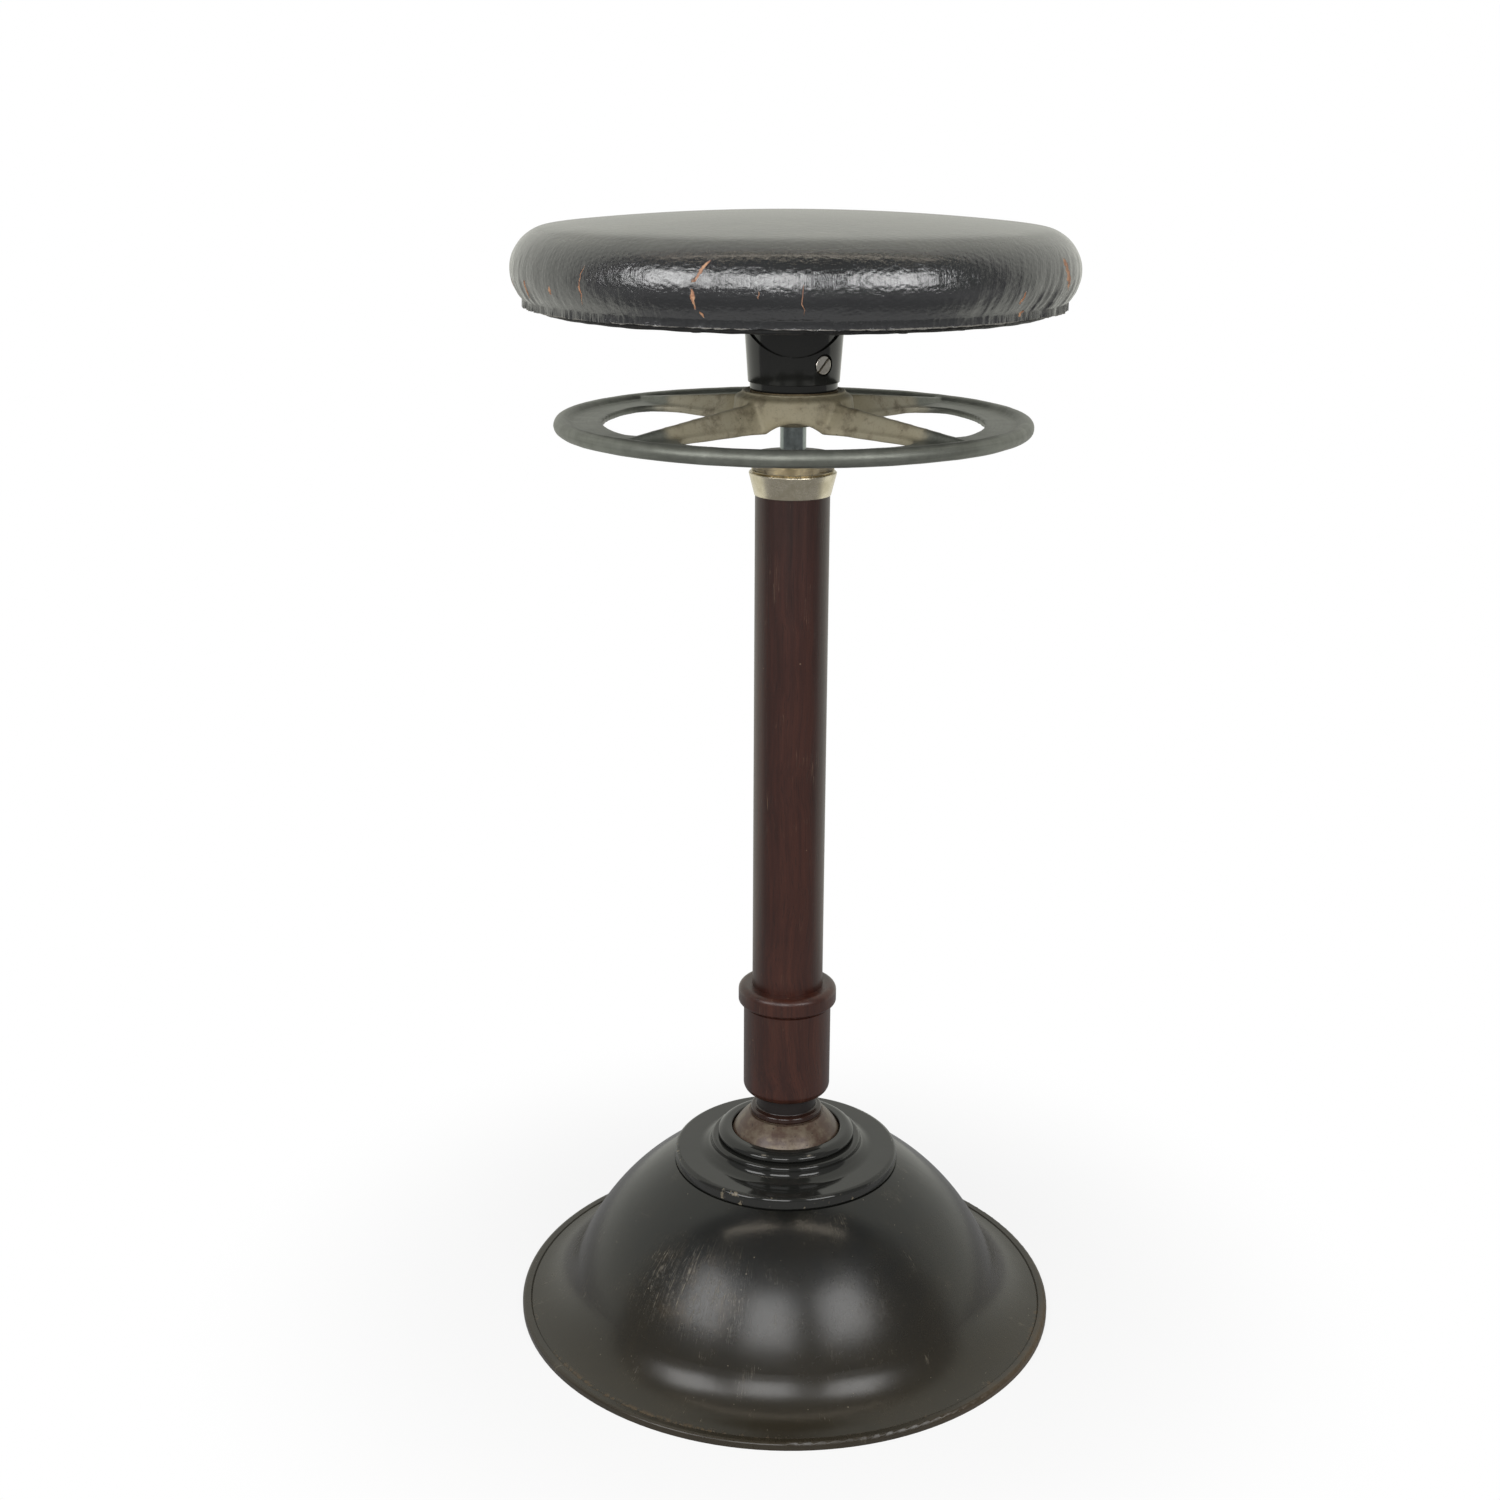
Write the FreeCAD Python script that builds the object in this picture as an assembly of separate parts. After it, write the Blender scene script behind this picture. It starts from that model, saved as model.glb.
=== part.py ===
"""Dental stool: bell base, sprung ball joint, wood column, screw lift with handwheel, swivel seat.

Millimetres. +Z is up, -Y is the front, and the origin is the centre of the foot on the floor.
Each function makes one piece in its place at rest, and the list at the end writes one file per piece.
"""
import FreeCAD, Part
import math
import os

Vector = FreeCAD.Vector
UP = Vector(0, 0, 1)
ORIGIN = Vector(0, 0, 0)

# Clearances
FIT = 0.05            # between pieces that are fixed together
RUN = 0.08            # radial running clearance of a shaft in its bore
BALL_CLEAR = 0.3      # between the ball and its socket
SWING_CLEAR = 0.5     # between the cross pin and the slots it swings in
STOP_GAP = 0.5        # left at a stop at the end of the lift

# Edge roundings
CAST_ROUND = 1.5
EDGE_ROUND = 1.2
TURNED_ROUND = 0.8
FINE_ROUND = 0.4

# Bell base
RIM_R = 189.0
RIM_HEIGHT = 5.0
RIM_ROUND = 2.2
LIP_WIDTH = 7.0       # flat lip outside the fine groove
GROOVE_WIDTH = 1.2
GROOVE_DEPTH = 0.8
FLARE_WIDTH = 39.5    # from the rim in to the waist, where the flare meets the dome
WAIST_Z = 29.2
DOME_TOP_Z = 109.0
DOME_BULGE = 8.6      # height of the dome's arc above its chord
BELL_WALL = 5.0
BELL_PLATE = 7.0      # thickness of the flat top of the bell
BELL_LEDGE = 0.5      # flat of the bell showing outside the flange

# Flange and socket
FLANGE_R = 78.5
FLANGE_EDGE = 9.0     # height of the flange's outer edge
FLANGE_ROUND = 3.0
BOSS_STEP = 4.7       # how far the step stands out past the ring
BOSS_ROUND = 2.4
COVE_WIDTH = 7.0      # how far the cove reaches out from the step
COVE_RISE = 3.2
COVE_ROUND = 9.0
BALL_R = 42.6
BALL_RISE = 2.4       # height of the ball's centre above the bell's top
CUP_WALL = 8.1
CUP_LIP = 7.0
CUP_LIP_HEIGHT = 4.0
CUP_DEPTH = 42.0      # from the ball's centre down to the spring seat
CUP_MOUTH_R = 24.0
CUP_FOOT_WALL = 14.0  # width of the spring seat round the mouth
CUP_SIDE_ROUND = 4.0
RING_WALL = 5.3
RING_GRIP = 4.6       # how much smaller than the ball the ring's mouth is
RING_CROWN = 2.4      # roll of the ring above its mouth
RING_DROP = 4.1       # seat of the ring on the raised step, below the ring's mouth
RING_FOOT_IN = 3.6    # how far the ring's foot is set in under its roll
RING_FOOT_HEIGHT = 0.9
RING_UNDER_ROUND = 1.3
RING_SHOULDER = 2.8   # height of the sloping part of the roll
RING_SLOPE = 3.6      # width of the sloping part of the roll
RING_SHOULDER_ROUND = 2.7
RING_TOP_ROUND = 6.0
SPIGOT_DEPTH = 4.0
SPIGOT_WALL = 4.6
PIN_R = 3.0
PIN_PROUD = 2.0       # how far the cross pin stands out of the ball
PIN_CHAMFER = 0.5
LEAN_LIMIT_DEG = 10.0
FLANGE_SCREWS = 4
FLANGE_SCREW_R = 3.0
FLANGE_SCREW_HEAD_R = 5.5
FLANGE_SCREW_HEAD = 4.0
FLANGE_SCREW_BITE = 5.0
FLANGE_SCREW_TURN_DEG = 45.0

# Ball foot, tail and spring
BEAD_RISE = 33.6      # height above the ball's centre where the turned bead starts
BEAD_HEIGHT = 5.0
BEAD_STEP = 4.0       # how far the bead stands out past the neck
BEAD_ROUND = 2.2
BEAD_SINK = 1.0       # how far the turned neck runs down into the ball
QUIRK_IN = 0.8        # fine groove under the bead
QUIRK_LOW = 0.4
QUIRK_HIGH = 1.4
NECK_STEP = 4.8       # how much thicker the neck is than the tube on it
NECK_TOP_RISE = 50.1  # height of the neck's shoulder above the ball's centre
STUD_LENGTH = 20.5
TAIL_R = 8.0
TAIL_GRIP = 22.0      # length of the tail bolt inside the ball
BALL_FLAT_DROP = 38.0 # flat under the ball, below its centre
TAIL_DROP = 101.0     # foot of the tail bolt, below the ball's centre
PLATE_DROP = 86.0     # top of the spring plate, below the ball's centre
PLATE_THICK = 4.0
PLATE_WALL = 5.5      # rim of the plate outside the spring
NUT_HEIGHT = 8.0
NUT_WALL = 5.5
SPRING_R = 30.0
WIRE_R = 2.6
SPRING_TURNS = 5
SPRING_SEAT_GAP = 0.3
FOOT_PIN_R = 3.0
FOOT_PIN_RISE = 10.0  # above the neck's shoulder

# Column
SPINDLE_R = 8.4
BUSH_WALL = 4.9
TUBE_WALL = 2.6
POST_R = 24.25
POST_LENGTH = 405.0
COLLAR_WALL = 5.85
COLLAR_ROUND = 7.0
COLLAR_FLOOR = 23.5   # wood under the end of the post
COLLAR_CUP = 68.0     # height of the plain cup below the bead
BEAD_RING_HEIGHT = 13.0
BEAD_RING_PROUD = 3.7
COVE_DEPTH = 1.4
COVE_HEIGHT = 2.4
FERRULE_LAP = 7.0     # ferrule over the end of the post
FERRULE_NECK = 8.0    # ferrule above the end of the post
FERRULE_WALL = 0.5
FERRULE_PROUD = 4.3   # how much larger than the post the ferrule's top is
CAP_PROUD = 2.45      # how much larger than the post the cap nut is
CAP_HEIGHT = 11.5
CAP_WALL = 3.5
CAP_ROUND = 0.7
BUSH_LENGTH = 46.0
LIFT_NUT_LENGTH = 36.0
NUT_PIN_R = 2.5

# Screw lift
SCREW_RELIEF = 0.7    # how much slimmer the screw is than the plain spindle
SPINDLE_FOOT_GAP = 17.5  # spindle's foot above the stud at rest
LIFT_UP = 150.0
LIFT_DOWN = 14.0
STOP_COLLAR_HEIGHT = 6.0
STOP_COLLAR_STEP = 2.2
STOP_SCREW_R = 3.0
STOP_SCREW_HEAD_R = 6.0
STOP_SCREW_HEAD = 3.0
STOP_SCREW_LENGTH = 16.0
JOURNAL_STEP = 0.9    # how much slimmer the seat journal is than the spindle

# Handwheel
WHEEL_CLEAR = 18.5    # wheel boss above the cap nut at rest
WHEEL_R = 152.4
RIM_BEAD_R = 5.3
RIM_WIDTH = 31.0      # from the outside of the rim in to the windows
WEB_THICK = 4.4
WEB_DROP = 0.7        # middle of the web below the middle of the rim bead
RIM_RISE = 0.8        # middle of the rim bead above the wheel boss's foot
WINDOW_ROUND = 20.0
SPOKES = 4
SPOKE_WIDTH = 15.0
SPOKE_END_WIDTH = 12.0
SPOKE_TOP_WIDTH = 5.0
SPOKE_TOP_DROP = 1.7  # top of a spoke below the hub's top, at the hub
SPOKE_ROOT_WIDTH = 34.0  # foot of a spoke where it spreads into the hub
SPOKE_ROOT_REACH = 14.0  # how far out of the skirt the spread runs
SPOKE_END_RISE = 4.6  # top of a spoke above the web's middle, at the rim
WHEEL_HUB_HEIGHT = 22.0
WHEEL_HUB_WALL = 6.0
WHEEL_BOSS_WALL = 9.4
WHEEL_SKIRT_DROP = 1.5   # skirt below the foot of the boss
WHEEL_SKIRT_SPREAD = 2.0 # how far the skirt spreads from shoulder to foot
WHEEL_CROWN = 8.0     # thickness of the hub's top
ARCH_RISE = 5.0       # top of each arch above the foot of the boss
ARCH_WIDTH = 34.0
ARCH_FILLET = 4.0
WHEEL_LIP_HEIGHT = 1.8
WHEEL_LIP_WIDTH = 1.8
WHEEL_LIP_GAP = 3.2   # groove between the lip and the seat hub
WHEEL_LIP_ROUND = 0.7
WHEEL_SHOULDER = 4.6  # ledge of the hub outside the lip
WHEEL_SHOULDER_DROP = 1.4
WHEEL_SHOULDER_ROUND = 3.0
WHEEL_PIN_R = 3.0
WHEEL_PIN_RISE = 7.0
WASHER_THICK = 2.0

# Seat hub and seat
HUB_R = 31.5          # outside of the sleeve
HUB_TAPER = 2.4       # how much slimmer the sleeve is at its foot
SLEEVE_WALL = 1.4
HUB_FOOT = 5.0        # plain band under the sleeve
HUB_FOOT_STEP = 1.2
HUB_HEIGHT = 50.5
SADDLE_FRONT = 22.5   # front of the sleeve's top edge, above the hub's foot
SADDLE_SIDE = 40.0    # side of the sleeve's top edge, above the hub's foot
HUB_PLATE_R = 72.0
HUB_PLATE_THICK = 6.0
HUB_PLATE_ROUND = 2.0
HUB_FILLET = 3.0      # between the hub's core and its plate
HUB_CORE_WALL = 2.5   # closed top above the journal
HUB_SCREW_RISE = 17.6
HUB_SCREW_AZIMUTH_DEG = 38.0
HUB_SCREW_HEAD_R = 6.0
HUB_SCREW_HEAD = 3.0
HUB_SCREW_WELL = 0.9  # radial room round the head
HUB_SCREW_SUNK = 0.6  # head below the sleeve's surface
HUB_SCREW_R = 4.0
HUB_SCREW_SLOT = 1.6
HUB_SCREW_SLOT_TURN_DEG = -45.0
KEEP_GROOVE_DEPTH = 2.0
PLATE_SCREWS = 6
PLATE_SCREW_R = 2.5
PLATE_SCREW_HEAD_R = 4.5
PLATE_SCREW_HEAD = 2.6
PLATE_SCREW_BITE = 10.0
BOARD_THICK = 18.0
BOARD_ROUND = 1.0
SEAT_R = 177.5
SEAT_HEIGHT = 61.0    # crown of the seat above the underside of the board
SEAT_WIDEST = 24.0    # widest level above the underside of the board
SHOULDER_R = 29.0
HEM_IN = 12.0         # how far the hem is drawn in from the widest level
HEM_RISE = 2.0        # hem above the underside of the board
BOARD_IN = 19.5       # board's edge inside the widest level
COVER_THICK = 2.0
STRIP_THICK = 1.4     # leather turned in under the board
STRIP_IN = 14.0       # how far it runs in under the board
TACKS = 24
TACK_R = 3.2
TACK_HEIGHT = 0.7
TACK_ROUND = 0.4
TACK_IN = 7.0         # tacks inside the board's edge
TACK_SHANK_R = 0.9
TACK_BITE = 8.0       # length of the shank in the board

# Levels and radii that follow
BALL_Z = DOME_TOP_Z + BALL_RISE
FLANGE_TOP_Z = DOME_TOP_Z + FLANGE_EDGE
SOCKET_R = BALL_R + BALL_CLEAR
RING_R = BALL_R + RING_WALL
RING_MOUTH_R = BALL_R - RING_GRIP
RING_MOUTH_Z = BALL_Z + math.sqrt(SOCKET_R ** 2 - RING_MOUTH_R ** 2)
BOSS_R = RING_R + BOSS_STEP
BOSS_TOP_Z = RING_MOUTH_Z - RING_DROP
CUP_R = BALL_R + CUP_WALL
CUP_LIP_R = CUP_R + CUP_LIP
CUP_FOOT_Z = BALL_Z - CUP_DEPTH
CUP_FOOT_R = CUP_MOUTH_R + CUP_FOOT_WALL
SPIGOT_R = SOCKET_R + SPIGOT_WALL
BELL_SEAT_R = FLANGE_R + BELL_LEDGE
SCREW_CIRCLE_R = (CUP_LIP_R + BELL_SEAT_R) / 2
PIN_END_R = BALL_R + PIN_PROUD
SLOT_R = PIN_END_R + SWING_CLEAR
SLOT_HALF_WIDTH = PIN_R + SWING_CLEAR
SLOT_REACH = PIN_END_R * math.sin(math.radians(LEAN_LIMIT_DEG)) + PIN_R + SWING_CLEAR
SLOT_TOP_Z = BALL_Z + SLOT_REACH

BUSH_R = SPINDLE_R + RUN + BUSH_WALL
TUBE_BORE = BUSH_R + FIT
TUBE_R = TUBE_BORE + TUBE_WALL
NECK_R = TUBE_R + NECK_STEP
NECK_TOP_Z = BALL_Z + NECK_TOP_RISE
STUD_TOP_Z = NECK_TOP_Z + STUD_LENGTH
POST_FOOT_Z = NECK_TOP_Z + COLLAR_FLOOR
POST_TOP_Z = POST_FOOT_Z + POST_LENGTH
COLLAR_R = POST_R + COLLAR_WALL
BEAD_RING_Z = NECK_TOP_Z + COLLAR_CUP
COLLAR_TOP_Z = BEAD_RING_Z + BEAD_RING_HEIGHT
FERRULE_TOP_Z = POST_TOP_Z + FERRULE_NECK
CAP_R = POST_R + CAP_PROUD
CAP_TOP_Z = FERRULE_TOP_Z + CAP_HEIGHT
TUBE_TOP_Z = CAP_TOP_Z - CAP_WALL

SCREW_R = SPINDLE_R - SCREW_RELIEF
SPINDLE_FOOT_Z = STUD_TOP_Z + SPINDLE_FOOT_GAP
LIFT_NUT_Z = SPINDLE_FOOT_Z + STOP_COLLAR_HEIGHT + LIFT_UP + STOP_GAP
SCREW_TOP_Z = LIFT_NUT_Z + LIFT_NUT_LENGTH + LIFT_DOWN + STOP_GAP
JOURNAL_R = SPINDLE_R - JOURNAL_STEP

BOSS_FOOT_Z = CAP_TOP_Z + WHEEL_CLEAR
WHEEL_BOSS_R = SPINDLE_R + WHEEL_BOSS_WALL
RIM_BEAD_Z = BOSS_FOOT_Z + RIM_RISE
WEB_Z = RIM_BEAD_Z - WEB_DROP
WINDOW_R = WHEEL_R - RIM_WIDTH
WHEEL_TOP_Z = BOSS_FOOT_Z + WHEEL_HUB_HEIGHT
HUB_FOOT_R = HUB_R - HUB_TAPER - HUB_FOOT_STEP
WHEEL_LIP_R = HUB_FOOT_R + WHEEL_LIP_GAP + WHEEL_LIP_WIDTH
WHEEL_SHOULDER_R = WHEEL_LIP_R + WHEEL_SHOULDER
WHEEL_SKIRT_R = WHEEL_SHOULDER_R + WHEEL_SKIRT_SPREAD
WHEEL_HOLLOW_R = WHEEL_SKIRT_R - WHEEL_HUB_WALL
SKIRT_FOOT_Z = BOSS_FOOT_Z - WHEEL_SKIRT_DROP
WASHER_Z = WHEEL_TOP_Z - WHEEL_LIP_HEIGHT
HUB_FOOT_Z = WASHER_Z + WASHER_THICK
HUB_TOP_Z = HUB_FOOT_Z + HUB_HEIGHT
HUB_CORE_R = HUB_R - HUB_TAPER - SLEEVE_WALL
JOURNAL_TOP_Z = HUB_TOP_Z - HUB_PLATE_THICK - HUB_CORE_WALL
HUB_SCREW_Z = HUB_FOOT_Z + HUB_SCREW_RISE
KEEP_GROOVE_R = JOURNAL_R - KEEP_GROOVE_DEPTH

BOARD_Z = HUB_TOP_Z
BOARD_TOP_Z = BOARD_Z + BOARD_THICK
BOARD_R = SEAT_R - BOARD_IN
WIDEST_Z = BOARD_Z + SEAT_WIDEST
CROWN_Z = BOARD_Z + SEAT_HEIGHT
HEM_Z = BOARD_Z + HEM_RISE
STRIP_Z = BOARD_Z - STRIP_THICK
TACK_CIRCLE_R = BOARD_R - TACK_IN
PLATE_SCREW_CIRCLE_R = (HUB_R + HUB_PLATE_R) / 2


def at(r, z):
    """Point of a turned profile at radius r and height z."""
    return Vector(r, 0, z)


def segment(a, b):
    """Straight edge between two points."""
    return Part.LineSegment(a, b).toShape()


def bow(a, b, rise):
    """Arc from a to b that bulges to the left of its chord by rise, in the profile's plane."""
    chord = b - a
    left = Vector(-chord.z, 0, chord.x)
    left.normalize()
    return Part.ArcOfCircle(a, (a + b) / 2 + left * rise, b)


def arc_on(start, tangent, end):
    """Arc that leaves start along tangent and ends at end, in space."""
    chord = end - start
    run = Vector(chord)
    run.normalize()
    side = tangent - run * tangent.dot(run)
    if side.Length < 1e-9:
        return Part.LineSegment(start, end)
    turn = math.atan2(side.Length, tangent.dot(run))
    side.normalize()
    middle = (start + end) / 2 + side * (chord.Length / 2 * math.tan(turn / 2))
    return Part.ArcOfCircle(start, middle, end)


def outline(corners):
    """Closed edges through (r, z) or (r, z, rounding) corners, each rounding held within its runs."""
    points = [at(c[0], c[1]) for c in corners]
    rounds = [c[2] if len(c) > 2 else 0.0 for c in corners]
    count = len(points)
    starts, ends, arcs = [], [], []
    for i in range(count):
        back = points[i - 1] - points[i]
        ahead = points[(i + 1) % count] - points[i]
        reach = 0.48 * min(back.Length, ahead.Length)
        back.normalize()
        ahead.normalize()
        half = math.acos(max(-1.0, min(1.0, back.dot(ahead)))) / 2
        radius = min(rounds[i], reach * math.tan(half))
        if radius <= 0:
            starts.append(points[i])
            ends.append(points[i])
            arcs.append(None)
            continue
        tangent = radius / math.tan(half)
        bisector = back + ahead
        bisector.normalize()
        nearest = points[i] + bisector * (radius / math.sin(half) - radius)
        starts.append(points[i] + back * tangent)
        ends.append(points[i] + ahead * tangent)
        arcs.append(Part.ArcOfCircle(starts[i], nearest, ends[i]).toShape())
    edges = []
    for i in range(count):
        if arcs[i]:
            edges.append(arcs[i])
        following = starts[(i + 1) % count]
        if (following - ends[i]).Length > 1e-7:
            edges.append(segment(ends[i], following))
    return edges


def turned(edges):
    """Solid turned about the vertical axis from the closed edges of a profile."""
    solid = Part.Face(Part.Wire(edges)).revolve(ORIGIN, UP, 360)
    if solid.Volume < 0:
        solid.reverse()
    return solid


def turned_corners(*corners):
    """Solid turned from (r, z) or (r, z, rounding) corners."""
    return turned(outline(corners))


def rod(radius, low, high):
    """Upright round bar on the axis."""
    return Part.makeCylinder(radius, high - low, at(0, low))


def sleeve(radius, bore, low, high):
    """Upright tube on the axis."""
    return rod(radius, low, high).cut(rod(bore, low, high))


def slab(half_x, half_y, low, high):
    """Upright box centred on the axis."""
    return Part.makeBox(2 * half_x, 2 * half_y, high - low, Vector(-half_x, -half_y, low))


def around(shape, angle_deg):
    """Copy of a shape turned about the vertical axis."""
    copy = shape.copy()
    copy.rotate(ORIGIN, UP, angle_deg)
    return copy


def ring_of(shape, count, first_deg=0.0):
    """Even ring of copies about the vertical axis."""
    return [around(shape, first_deg + 360.0 * i / count) for i in range(count)]


def hexagon(across, low, high):
    """Upright hexagonal bar on the axis, with its size across the corners."""
    corners = [Vector(across / 2 * math.cos(math.pi * i / 3), across / 2 * math.sin(math.pi * i / 3), low)
               for i in range(7)]
    return Part.Face(Part.makePolygon(corners)).extrude(Vector(0, 0, high - low))


def bell_curves():
    """Dome arc from the bell's top to the waist, and flare arc on from the waist to the lip's groove."""
    top = at(BELL_SEAT_R, DOME_TOP_Z)
    waist = at(RIM_R - FLARE_WIDTH, WAIST_Z)
    dome = bow(top, waist, DOME_BULGE)
    tangent = dome.tangent(dome.parameter(waist))[0]
    flare = arc_on(waist, tangent, at(RIM_R - LIP_WIDTH, RIM_HEIGHT - GROOVE_DEPTH / 2))
    return dome, flare


def offset_end(curve, point, distance):
    """Point carried along the curve's radius by distance."""
    spoke = point - curve.Center
    spoke.normalize()
    return point + spoke * distance


def base_bell():
    """Cast bell: dome, flared foot and grooved lip, hollow below, bored for the socket cup."""
    dome, flare = bell_curves()
    groove_r = flare.EndPoint.x
    lip = [flare.EndPoint,
           at(groove_r + GROOVE_WIDTH / 2, RIM_HEIGHT - GROOVE_DEPTH),
           at(groove_r + GROOVE_WIDTH, RIM_HEIGHT),
           at(RIM_R - RIM_ROUND, RIM_HEIGHT)]
    low = at(RIM_R, RIM_HEIGHT - RIM_ROUND)
    edges = [segment(at(0, DOME_TOP_Z), dome.StartPoint), dome.toShape(), flare.toShape()]
    edges += [segment(a, b) for a, b in zip(lip, lip[1:])]
    edges.append(bow(lip[-1], low, RIM_ROUND * (1 - math.sqrt(0.5))).toShape())
    foot = [low, at(RIM_R, 0), at(0, 0), at(0, DOME_TOP_Z)]
    edges += [segment(a, b) for a, b in zip(foot, foot[1:])]
    body = turned(edges)

    inner_top = offset_end(dome, dome.StartPoint, -BELL_WALL)
    inner_waist = offset_end(dome, dome.EndPoint, -BELL_WALL)
    inner_foot = offset_end(flare, flare.EndPoint, BELL_WALL)
    dome_middle = offset_end(dome, dome.value((dome.FirstParameter + dome.LastParameter) / 2), -BELL_WALL)
    flare_middle = offset_end(flare, flare.value((flare.FirstParameter + flare.LastParameter) / 2), BELL_WALL)
    below = -2 * BELL_WALL
    hollow = turned([segment(at(0, inner_top.z), inner_top),
                     Part.ArcOfCircle(inner_top, dome_middle, inner_waist).toShape(),
                     Part.ArcOfCircle(inner_waist, flare_middle, inner_foot).toShape(),
                     segment(inner_foot, at(inner_foot.x, below)),
                     segment(at(inner_foot.x, below), at(0, below)),
                     segment(at(0, below), at(0, inner_top.z))])
    hollow = hollow.common(rod(RIM_R, below, DOME_TOP_Z - BELL_PLATE))
    body = body.cut(hollow)
    body = body.cut(rod(CUP_R + FIT, 0, DOME_TOP_Z))
    body = body.cut(rod(CUP_LIP_R + FIT, DOME_TOP_Z - CUP_LIP_HEIGHT, DOME_TOP_Z))
    hole = Part.makeCylinder(FLANGE_SCREW_R + FIT, BELL_PLATE, at(SCREW_CIRCLE_R, DOME_TOP_Z - BELL_PLATE))
    for cut in ring_of(hole, FLANGE_SCREWS, FLANGE_SCREW_TURN_DEG):
        body = body.cut(cut)
    return body


def pin_slots(low, high):
    """Two facing slots, left and right, that the ends of the cross pin swing in."""
    return slab(SLOT_R, SLOT_HALF_WIDTH, low, high)


def base_flange():
    """Round flange on the bell, coved up to the raised step that carries the retaining ring."""
    body = turned_corners((SOCKET_R, DOME_TOP_Z),
                          (FLANGE_R, DOME_TOP_Z, FLANGE_ROUND / 2),
                          (FLANGE_R, FLANGE_TOP_Z, FLANGE_ROUND),
                          (BOSS_R + COVE_WIDTH, FLANGE_TOP_Z, COVE_ROUND),
                          (BOSS_R, FLANGE_TOP_Z + COVE_RISE, COVE_ROUND / 2),
                          (BOSS_R, BOSS_TOP_Z, BOSS_ROUND),
                          (SPIGOT_R + FIT, BOSS_TOP_Z),
                          (SPIGOT_R + FIT, BOSS_TOP_Z - SPIGOT_DEPTH),
                          (SOCKET_R, BOSS_TOP_Z - SPIGOT_DEPTH))
    body = body.cut(pin_slots(DOME_TOP_Z, min(SLOT_TOP_Z, BOSS_TOP_Z)))
    hole = Part.makeCylinder(FLANGE_SCREW_R + FIT, FLANGE_SCREW_BITE, at(SCREW_CIRCLE_R, DOME_TOP_Z))
    for cut in ring_of(hole, FLANGE_SCREWS, FLANGE_SCREW_TURN_DEG):
        body = body.cut(cut)
    return body


def socket_cup():
    """Cup that carries the ball, hung by its lip in the bell and open below for the tail."""
    lip_z = DOME_TOP_Z - CUP_LIP_HEIGHT
    body = turned_corners((0, CUP_FOOT_Z),
                          (CUP_FOOT_R, CUP_FOOT_Z, CAST_ROUND),
                          (CUP_R, (CUP_FOOT_Z + lip_z) / 2, CUP_SIDE_ROUND),
                          (CUP_R, lip_z),
                          (CUP_LIP_R, lip_z),
                          (CUP_LIP_R, DOME_TOP_Z),
                          (0, DOME_TOP_Z))
    body = body.cut(Part.makeSphere(SOCKET_R, at(0, BALL_Z)))
    body = body.cut(rod(CUP_MOUTH_R, CUP_FOOT_Z, BALL_Z))
    return body.cut(pin_slots(BALL_Z - SLOT_REACH, DOME_TOP_Z))


def socket_ring():
    """Rolled retaining ring that holds the ball down, with a spigot in the flange."""
    spigot_z = BOSS_TOP_Z - SPIGOT_DEPTH
    crown_z = RING_MOUTH_Z + RING_CROWN
    body = turned_corners((0, spigot_z),
                          (SPIGOT_R, spigot_z),
                          (SPIGOT_R, BOSS_TOP_Z),
                          (RING_R - RING_FOOT_IN, BOSS_TOP_Z),
                          (RING_R - RING_FOOT_IN, BOSS_TOP_Z + RING_FOOT_HEIGHT, FINE_ROUND),
                          (RING_R, BOSS_TOP_Z + RING_FOOT_HEIGHT, RING_UNDER_ROUND),
                          (RING_R, crown_z - RING_SHOULDER, RING_SHOULDER_ROUND),
                          (RING_R - RING_SLOPE, crown_z, RING_TOP_ROUND),
                          (RING_MOUTH_R, crown_z, RING_CROWN),
                          (RING_MOUTH_R, RING_MOUTH_Z),
                          (0, RING_MOUTH_Z))
    body = body.cut(Part.makeSphere(SOCKET_R, at(0, BALL_Z)))
    body = body.cut(rod(RING_MOUTH_R, spigot_z, crown_z))
    if SLOT_TOP_Z > spigot_z:
        body = body.cut(pin_slots(spigot_z, SLOT_TOP_Z))
    return body


def flange_screws():
    """Screws up through the bell's top into the flange."""
    seat_z = DOME_TOP_Z - BELL_PLATE
    head = Part.makeCylinder(FLANGE_SCREW_HEAD_R, FLANGE_SCREW_HEAD, at(SCREW_CIRCLE_R, seat_z - FLANGE_SCREW_HEAD))
    shank = Part.makeCylinder(FLANGE_SCREW_R, BELL_PLATE + FLANGE_SCREW_BITE, at(SCREW_CIRCLE_R, seat_z))
    return Part.makeCompound(ring_of(head.fuse(shank).removeSplitter(), FLANGE_SCREWS, FLANGE_SCREW_TURN_DEG))


def cross_pin():
    """Pin through the ball, left to right, that keeps the ball from spinning in its socket."""
    pin = Part.makeCylinder(PIN_R, 2 * PIN_END_R, Vector(-PIN_END_R, 0, BALL_Z), Vector(1, 0, 0))
    return pin.makeChamfer(PIN_CHAMFER, [e for e in pin.Edges if e.Curve.TypeId == "Part::GeomCircle"])


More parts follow.
